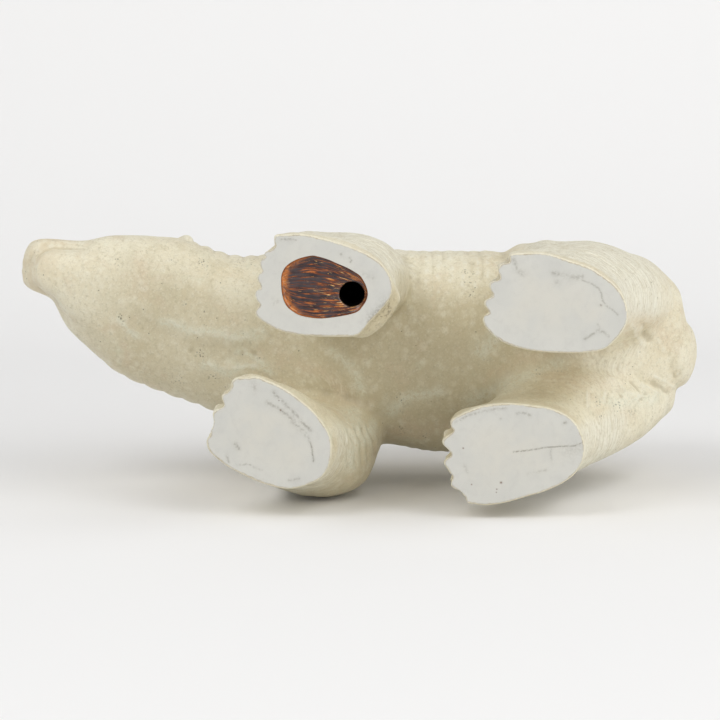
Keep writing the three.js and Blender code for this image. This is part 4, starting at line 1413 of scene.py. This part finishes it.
class Bench:
    """Lays out the nodes of one finish."""

    def __init__(self, name):
        self.material = bpy.data.materials.new(name)
        self.material.use_nodes = True
        self.nodes, self.links = self.material.node_tree.nodes, self.material.node_tree.links
        self.shader = self.nodes["Principled BSDF"]
        self.place = self.nodes.new("ShaderNodeTexCoord").outputs["Object"]

    def link(self, value, socket):
        """Sets a socket to a number or a colour, or links it to another socket."""
        if isinstance(value, (int, float)):
            socket.default_value = value
        elif isinstance(value, tuple):
            socket.default_value = (*value, 1)[: len(socket.default_value)]
        else:
            self.links.new(value, socket)

    def math(self, kind, a, b):
        node = self.nodes.new("ShaderNodeMath")
        node.operation = kind
        self.link(a, node.inputs[0])
        self.link(b, node.inputs[1])
        return node.outputs[0]

    def times(self, a, b):
        return self.math("MULTIPLY", a, b)

    def plus(self, a, b):
        return self.math("ADD", a, b)

    def minus(self, a, b):
        return self.math("SUBTRACT", a, b)

    def cloud(self, scale, detail=3.0, roughness=0.5, place=None, distortion=0.0):
        """Soft noise between 0 and 1."""
        node = self.nodes.new("ShaderNodeTexNoise")
        self.links.new(place or self.place, node.inputs["Vector"])
        node.inputs["Scale"].default_value = scale
        node.inputs["Detail"].default_value = detail
        node.inputs["Roughness"].default_value = roughness
        node.inputs["Distortion"].default_value = distortion
        return node.outputs["Fac"]

    def cells(self, scale, feature="F1", place=None):
        """Distance from the nearest of many scattered points, or from the walls between them."""
        node = self.nodes.new("ShaderNodeTexVoronoi")
        node.feature = feature
        self.links.new(place or self.place, node.inputs["Vector"])
        node.inputs["Scale"].default_value = scale
        node.inputs["Randomness"].default_value = 1.0
        return node.outputs["Distance"]

    def between(self, value, low, high, to_low=0.0, to_high=1.0):
        """Soft step from one value at the low mark to another at the high mark."""
        node = self.nodes.new("ShaderNodeMapRange")
        node.interpolation_type = "SMOOTHSTEP"
        self.link(value, node.inputs["Value"])
        marks = {"From Min": low, "From Max": high, "To Min": to_low, "To Max": to_high}
        for socket, number in marks.items():
            node.inputs[socket].default_value = number
        return node.outputs["Result"]

    def value(self, name):
        """A value that keep_attribute gave to the points."""
        node = self.nodes.new("ShaderNodeAttribute")
        node.attribute_name = name
        return node.outputs["Fac"]

    def blend(self, share, first, second):
        """The first colour, with a share of the second one laid over it."""
        node = self.nodes.new("ShaderNodeMix")
        node.data_type = "RGBA"
        self.link(share, node.inputs[0])
        self.link(first, node.inputs[6])
        self.link(second, node.inputs[7])
        return node.outputs[2]

    def distorted(self, scale, amount):
        """Places pushed about by soft noise, so that cells lose their straight walls."""
        node = self.nodes.new("ShaderNodeTexNoise")
        self.links.new(self.place, node.inputs["Vector"])
        node.inputs["Scale"].default_value = scale
        node.inputs["Detail"].default_value = 2.0
        push = self.nodes.new("ShaderNodeVectorMath")
        push.operation = "MULTIPLY_ADD"
        self.links.new(node.outputs["Color"], push.inputs[0])
        push.inputs[1].default_value = (amount, amount, amount)
        self.links.new(self.place, push.inputs[2])
        return push.outputs[0]

    def flat_place(self, across, along):
        """Flat places to lay strokes out on."""
        node = self.nodes.new("ShaderNodeCombineXYZ")
        self.link(across, node.inputs[0])
        self.link(along, node.inputs[1])
        return node.outputs[0]

    def raise_surface(self, height, distance):
        """Fine relief on the surface, as high as the distance where the height is 1."""
        node = self.nodes.new("ShaderNodeBump")
        node.inputs["Distance"].default_value = distance
        node.inputs["Strength"].default_value = 1.0
        self.links.new(height, node.inputs["Height"])
        return node.outputs["Normal"]

    def finish(self, colour, roughness, normal, specular):
        """The material, with its colour, roughness, relief and gloss linked to the shader."""
        self.link(colour, self.shader.inputs["Base Color"])
        self.link(roughness, self.shader.inputs["Roughness"])
        self.shader.inputs["Specular IOR Level"].default_value = specular
        self.links.new(normal, self.shader.inputs["Normal"])
        return self.material


def cream_glaze():
    """Matt cream glaze: pale where it runs thin on ridges, tan and olive where it pools, darkened with
    painted shade under the body and between the legs.
    """
    bench = Bench("matt_cream_glaze")
    tone = CREAM_TONES
    hollow, wide_hollow = bench.value("hollow"), bench.value("wide_hollow")
    pooling_and_shade, muzzle, chip = bench.value("pooling_and_shade"), bench.value("muzzle"), bench.value("chip")
    bent = bench.distorted(190, 2.2 * MM)
    broad = bench.cloud(30, 4, 0.6)
    patches = bench.cloud(85, 5, 0.62, distortion=0.5)
    other = bench.cloud(64, 4, 0.6, distortion=0.7)
    curds = bench.cells(215, place=bent)
    beads = bench.cells(640, place=bench.distorted(420, 0.7 * MM))
    net = bench.cells(300, "DISTANCE_TO_EDGE", place=bent)
    speckle = bench.cloud(1500, 3, 0.65)
    fine = bench.cloud(520, 4, 0.65)

    colour = bench.blend(bench.between(broad, 0.38, 0.64), tone["pale cream"], tone["warm cream"])
    # Partly painted shade: the pooled tone darkens faces turned down or inward between the legs and under the
    # neck
    colour = bench.blend(bench.between(pooling_and_shade, 0, 1, 0, 0.86), colour, tone["pooled"])
    colour = bench.blend(bench.between(patches, 0.50, 0.68, 0, 0.42), colour, tone["olive"])
    colour = bench.blend(bench.between(other, 0.54, 0.70, 0, 0.40), colour, tone["tan"])
    green = bench.times(bench.between(other, 0.30, 0.44, 1, 0), bench.between(patches, 0.34, 0.6, 1, 0.2))
    colour = bench.blend(bench.times(green, 0.42), colour, tone["green"])
    bloom = bench.times(bench.value("bloom"), bench.between(fine, 0.34, 0.58, 0.15, 1))
    colour = bench.blend(bench.times(bloom, 0.75), colour, tone["bloom"])
    tan = bench.times(bench.value("warm"), bench.between(fine, 0.34, 0.6, 0.3, 1))
    colour = bench.blend(bench.times(tan, 0.75), colour, tone["warm"])
    pale = bench.times(bench.value("combed"), bench.minus(1, pooling_and_shade))
    colour = bench.blend(bench.times(pale, 0.75), colour, tone["combed"])
    region = bench.between(patches, 0.36, 0.58, 1, 0.25)
    lumps = bench.times(bench.between(curds, 0.16, 0.60, 0.46, 0), region)
    colour = bench.blend(lumps, colour, tone["curd"])
    dots = bench.times(bench.between(beads, 0.12, 0.52, 0.55, 0), bench.between(fine, 0.33, 0.60))
    dots = bench.times(dots, bench.between(pooling_and_shade, 0, 1, 1, 0.5))
    colour = bench.blend(dots, colour, tone["bead"])
    lines = bench.times(bench.between(net, 0.0, 0.12, 0.17, 0), bench.between(other, 0.35, 0.6, 0.25, 1))
    colour = bench.blend(lines, colour, tone["crazing"])
    colour = bench.blend(bench.between(fine, 0.50, 0.70, 0, 0.46), colour, tone["shade"])
    colour = bench.blend(bench.between(speckle, 0.56, 0.72, 0, 0.44), colour, tone["dark speck"])
    colour = bench.blend(bench.between(speckle, 0.28, 0.42, 0.26, 0), colour, tone["pale speck"])

    pooled = bench.times(bench.between(wide_hollow, 0.05, 1.2, 0, 0.5), bench.between(fine, 0.3, 0.6, 1, 0.6))
    colour = bench.blend(pooled, colour, tone["wide hollow"])
    worn = bench.between(bench.times(hollow, -1), 0.02, 0.22, 0, 0.5)
    colour = bench.blend(worn, colour, tone["ridge"])
    colour = bench.blend(bench.between(hollow, 0.03, 0.22, 0, 0.5), colour, tone["hollow"])

    warm = bench.times(muzzle, bench.between(bench.cloud(150, 4, 0.6), 0.38, 0.62, 0.1, 0.7))
    colour = bench.blend(warm, colour, tone["muzzle"])
    crumbs = bench.between(bench.cloud(560, 4, 0.7), 0.53, 0.62)
    colour = bench.blend(bench.times(chip, 0.7), colour, tone["chip"])
    colour = bench.blend(bench.times(bench.times(chip, crumbs), 0.7), colour, tone["crumb"])

    burst = bench.between(bench.cells(620, place=bent), 0.16, 0.34, 1, 0)
    scattered = bench.between(bench.cloud(46, 2, 0.5), 0.69, 0.74, 0, 0.7)
    clusters = bench.math("MAXIMUM", bench.value("pinholes"), scattered)
    pitted = bench.times(burst, clusters)
    few = bench.times(bench.between(bench.cells(150), 0.035, 0.06, 1, 0), 0.8)
    pitted = bench.math("MAXIMUM", pitted, few)
    colour = bench.blend(bench.times(pitted, 0.82), colour, tone["pinhole"])

    lay = bench.flat_place(bench.value("across"), bench.value("along"))
    combed = bench.value("combed")
    strokes = bench.cloud(1, 4, 0.6, place=lay)
    shade = bench.times(combed, bench.between(strokes, 0.32, 0.68, -0.9, 0.75))
    colour = bench.blend(bench.math("MAXIMUM", shade, 0), colour, tone["pale stroke"])
    colour = bench.blend(bench.times(bench.math("MINIMUM", shade, 0), -0.6), colour, tone["dark stroke"])

    height = bench.times(bench.minus(0.5, curds), 1.1)
    height = bench.plus(height, bench.times(bench.minus(0.4, beads), 0.55))
    height = bench.plus(height, bench.times(fine, 0.9))
    height = bench.plus(height, bench.times(speckle, 0.22))
    height = bench.minus(height, bench.times(pitted, 1.2))
    height = bench.plus(height, bench.times(bench.times(strokes, combed), 3.3))
    height = bench.plus(height, bench.times(bench.times(crumbs, chip), -1.4))
    normal = bench.raise_surface(height, 0.17 * MM)
    roughness = bench.between(bench.cloud(260, 3), 0.3, 0.7, 0.42, 0.62)
    return bench.finish(colour, roughness, normal, 0.42)


def bare_clay():
    """Unglazed pale clay ground level, with grey scuffs, a thin lip of glaze round it and fine grain."""
    bench = Bench("pale_bare_clay")
    tone = CLAY_TONES
    inside = bench.value("bare")
    wave = bench.cloud(520, 3, 0.55)
    grain = bench.cloud(2400, 3, 0.6)
    cloud = bench.cloud(60, 4, 0.55)
    colour = bench.blend(bench.between(cloud, 0.35, 0.65), tone["grey"], tone["pale"])
    rubbed = bench.between(bench.cloud(210, 5, 0.65, distortion=0.4), 0.46, 0.72, 0, 0.38)
    colour = bench.blend(rubbed, colour, tone["rubbed"])
    warm = bench.times(bench.between(inside, 2, 17, 0, 0.5), bench.between(cloud, 0.3, 0.6, 0.2, 1))
    colour = bench.blend(warm, colour, tone["warm"])
    colour = bench.blend(bench.between(grain, 0.5, 0.72, 0, 0.22), colour, tone["grain"])
    dust = bench.between(bench.cells(1100), 0.06, 0.15, 0.5, 0)
    dust = bench.times(dust, bench.between(bench.cloud(110, 3), 0.55, 0.68))
    colour = bench.blend(dust, colour, tone["dust"])
    broken = bench.between(bench.cloud(900, 3, 0.7), 0.36, 0.56, 0.2, 1.3)
    scuffed = bench.times(bench.value("scuffed"), broken)
    colour = bench.blend(scuffed, colour, tone["scuff"])
    colour = bench.blend(bench.value("speck"), colour, tone["iron"])
    edge = bench.plus(inside, bench.times(bench.minus(wave, 0.5), 1.3))
    lip = bench.between(edge, -0.35, -0.05, 1, 0)
    stain = bench.between(edge, -0.15, 0.65, 0.85, 0)
    stain = bench.times(stain, bench.between(bench.cloud(120, 3), 0.44, 0.60, 0.35, 1))
    colour = bench.blend(stain, colour, tone["stain"])
    colour = bench.blend(lip, colour, tone["lip"])
    height = bench.minus(bench.times(grain, 0.5), bench.times(scuffed, 0.7))
    height = bench.plus(height, bench.times(lip, 0.8))
    normal = bench.raise_surface(height, 0.1 * MM)
    return bench.finish(colour, bench.between(lip, 0, 1, 0.88, 0.5), normal, 0.3)


def brown_glaze():
    """Glossy iron-brown glaze brushed lengthwise, breaking to rust and gold where it is thin."""
    bench = Bench("iron_brown_glaze")
    tone = BROWN_TONES
    lay = bench.flat_place(bench.value("across"), bench.value("along"))
    streaks = bench.cloud(1, 5, 0.62, place=lay, distortion=0.35)
    second = bench.cloud(1.7, 4, 0.6, place=lay, distortion=0.6)
    broad = bench.cloud(120, 3, 0.55)
    edge, vent, left_end = bench.value("from_edge"), bench.value("from_vent"), bench.value("left_end")
    near_vent = bench.between(vent, 1.0, 13, 1, 0)
    pull = bench.plus(streaks, bench.times(near_vent, 0.045))
    colour = bench.blend(bench.between(broad, 0.35, 0.65), tone["black"], tone["grey"])
    colour = bench.blend(bench.between(pull, 0.50, 0.57, 0, 0.9), colour, tone["red"])
    colour = bench.blend(bench.between(pull, 0.59, 0.64, 0, 0.95), colour, tone["rust"])
    gold = bench.plus(second, bench.times(near_vent, 0.06))
    colour = bench.blend(bench.between(gold, 0.63, 0.69, 0, 0.9), colour, tone["gold"])
    colour = bench.blend(bench.between(gold, 0.71, 0.78, 0, 0.85), colour, tone["straw"])
    patches = bench.cloud(300, 4, 0.65, distortion=0.5)
    warm = bench.times(left_end, bench.between(patches, 0.36, 0.52, 0.25, 1))
    colour = bench.blend(warm, colour, tone["orange"])
    bright = bench.times(left_end, bench.between(second, 0.56, 0.66))
    colour = bench.blend(bright, colour, tone["bright gold"])
    wander = bench.plus(edge, bench.times(bench.minus(bench.cloud(330, 4), 0.5), 3.0))
    colour = bench.blend(bench.between(wander, -0.1, 0.9, 0.85, 0), colour, tone["dark edge"])
    colour = bench.blend(bench.between(wander, -0.9, -0.1, 0.8, 0), colour, tone["pale edge"])
    # Painted shade: the vent's walls and a half-millimetre band round its edge go near-black, standing in for
    # the shade in the hole
    colour = bench.blend(bench.between(vent, -0.1, 0.5, 1, 0), colour, tone["painted vent shade"])
    height = bench.plus(streaks, bench.times(bench.cloud(700, 2), 0.3))
    normal = bench.raise_surface(height, 0.10 * MM)
    return bench.finish(colour, bench.between(streaks, 0.3, 0.7, 0.12, 0.28), normal, 0.5)


def painted_bore_shade():
    """Near-black painted shade up inside the leg's bore, standing in for the shade deep in the vent."""
    bench = Bench("painted_bore_shade")
    tone = BORE_SHADE_TONES
    cloud = bench.cloud(300, 4, 0.6)
    colour = bench.blend(cloud, tone["bore_shade"], tone["lighter_bore_shade"])
    return bench.finish(colour, 0.9, bench.raise_surface(cloud, 0.2 * MM), 0.2)


def whole_bear():
    """Builds the bear's pieces, gives them their finishes and sets them in place of the castings."""
    halves = raw_bear()
    for half in halves:
        worked_surface(half)
    pieces = cast_pieces(halves)
    glaze, clay, brown, bore_shade = cream_glaze(), bare_clay(), brown_glaze(), painted_bore_shade()
    for piece in pieces.values():
        piece.data.materials.clear()
        piece.data.materials.append(glaze)
    for foot in FEET:
        sole = pieces[f"{foot}_sole"]
        finer_sole(sole)
        if foot == "left_fore":
            cut_with(sole, panel_prism())
        marks_on_sole(sole, foot, glaze, clay)
    # The bore's walls take the near-black painted shade
    cut_with(pieces["left_fore_leg"], vent_bore(bore_shade))
    pieces["stamp_panel"] = glazed_panel()
    pieces["stamp_panel"].data.materials.append(brown)
    for name, piece in pieces.items():
        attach(piece, "root")
        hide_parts(name)


def white_paper():
    """Matt white paper that is seen through from behind."""
    material = bpy.data.materials.new("white_paper")
    material.use_nodes = True
    nodes, links = material.node_tree.nodes, material.node_tree.links
    shader = nodes["Principled BSDF"]
    shader.inputs["Base Color"].default_value = (*PAPER_WHITE, 1)
    shader.inputs["Roughness"].default_value = 0.85
    shader.inputs["Specular IOR Level"].default_value = 0.2
    side = nodes.new("ShaderNodeNewGeometry")
    clear = nodes.new("ShaderNodeBsdfTransparent")
    mix = nodes.new("ShaderNodeMixShader")
    links.new(side.outputs["Backfacing"], mix.inputs[0])
    links.new(shader.outputs[0], mix.inputs[1])
    links.new(clear.outputs[0], mix.inputs[2])
    links.new(mix.outputs[0], nodes["Material Output"].inputs["Surface"])
    return material


def paper_sweep():
    """White paper under the bear, rising behind it."""
    bm = bmesh.new()
    profile = [(0.0, SWEEP_FRONT), (0.0, SWEEP_BACK)]
    for step in range(1, SWEEP_STEPS + 1):
        turn = SWEEP_TURN * step / SWEEP_STEPS
        rise = SWEEP_RADIUS * (1 - math.cos(turn))
        profile.append((rise, SWEEP_BACK + SWEEP_RADIUS * math.sin(turn)))
    verts = [bm.verts.new((TABLE_DEPTH + x, -SWEEP_HALF_WIDTH, z)) for x, z in profile]
    edges = [bm.edges.new(pair) for pair in zip(verts, verts[1:])]
    made = bmesh.ops.extrude_edge_only(bm, edges=edges)
    moved = [item for item in made["geom"] if isinstance(item, bmesh.types.BMVert)]
    bmesh.ops.translate(bm, vec=(0, 2 * SWEEP_HALF_WIDTH, 0), verts=moved)
    for face in bm.faces:
        face.smooth = True
    bmesh.ops.recalc_face_normals(bm, faces=bm.faces)
    if sum(face.normal.x for face in bm.faces) < 0:
        bmesh.ops.reverse_faces(bm, faces=bm.faces)
    sweep = new_piece("paper_sweep", bm)
    sweep.data.materials.append(white_paper())


def soft_light(name, place, aim, size, power, spread=180):
    """Lamp with a rectangular face, turned towards its aim."""
    lamp = bpy.data.lights.new(name, "AREA")
    lamp.spread = math.radians(spread)
    lamp.shape = "RECTANGLE"
    lamp.size, lamp.size_y = size
    lamp.energy = power
    holder = bpy.data.objects.new(name, lamp)
    bpy.context.scene.collection.objects.link(holder)
    holder.location = place
    holder.rotation_mode = "QUATERNION"
    holder.rotation_quaternion = (Vector(aim) - Vector(place)).to_track_quat("-Z", "Y")


def studio():
    """Soft boxes round the bear, a lamp on the paper behind it and even light from all sides."""
    world = bpy.data.worlds.new("studio")
    bpy.context.scene.world = world
    world.use_nodes = True
    sky = world.node_tree.nodes["Background"]
    sky.inputs["Color"].default_value = (*LAMP_WHITE, 1)
    sky.inputs["Strength"].default_value = WORLD_STRENGTH
    for name, rise, turn, size, power in SOFT_BOXES:
        rise, turn = math.radians(rise), math.radians(turn)
        level = BOX_DISTANCE * math.cos(rise)
        place = (BOX_DISTANCE * math.sin(rise), level * math.sin(turn), BOX_AIM - level * math.cos(turn))
        soft_light(name, place, (0, 0, BOX_AIM), (size, size), power)
    soft_light(
        "backdrop",
        place=(1.2, 0, 1.15),
        aim=(-0.07, 0, 0.95),
        size=(1.6, 0.3),
        power=0.85,
        spread=100,
    )
    bpy.context.scene.view_settings.view_transform = "Standard"


def camera():
    """Camera at the photograph's viewpoint."""
    data = bpy.data.cameras.new("camera")
    data.sensor_width = SENSOR_WIDTH
    data.lens = SENSOR_WIDTH * PIXELS_PER_UNIT / (2 * HALF_FRAME)
    data.clip_start, data.clip_end = 0.05, 20
    ahead = Vector((-math.sin(VIEW_TILT), 0, math.cos(VIEW_TILT)))
    up = Vector((math.cos(VIEW_TILT), 0, math.sin(VIEW_TILT)))
    right = ahead.cross(up)
    holder = bpy.data.objects.new("camera", data)
    bpy.context.scene.collection.objects.link(holder)
    turn = Matrix((right, up, -ahead)).transposed().to_4x4()
    holder.matrix_world = Matrix.Translation(VIEW_CENTRE - ahead * VIEW_DISTANCE) @ turn
    bpy.context.scene.camera = holder


whole_bear()
paper_sweep()
studio()
camera()
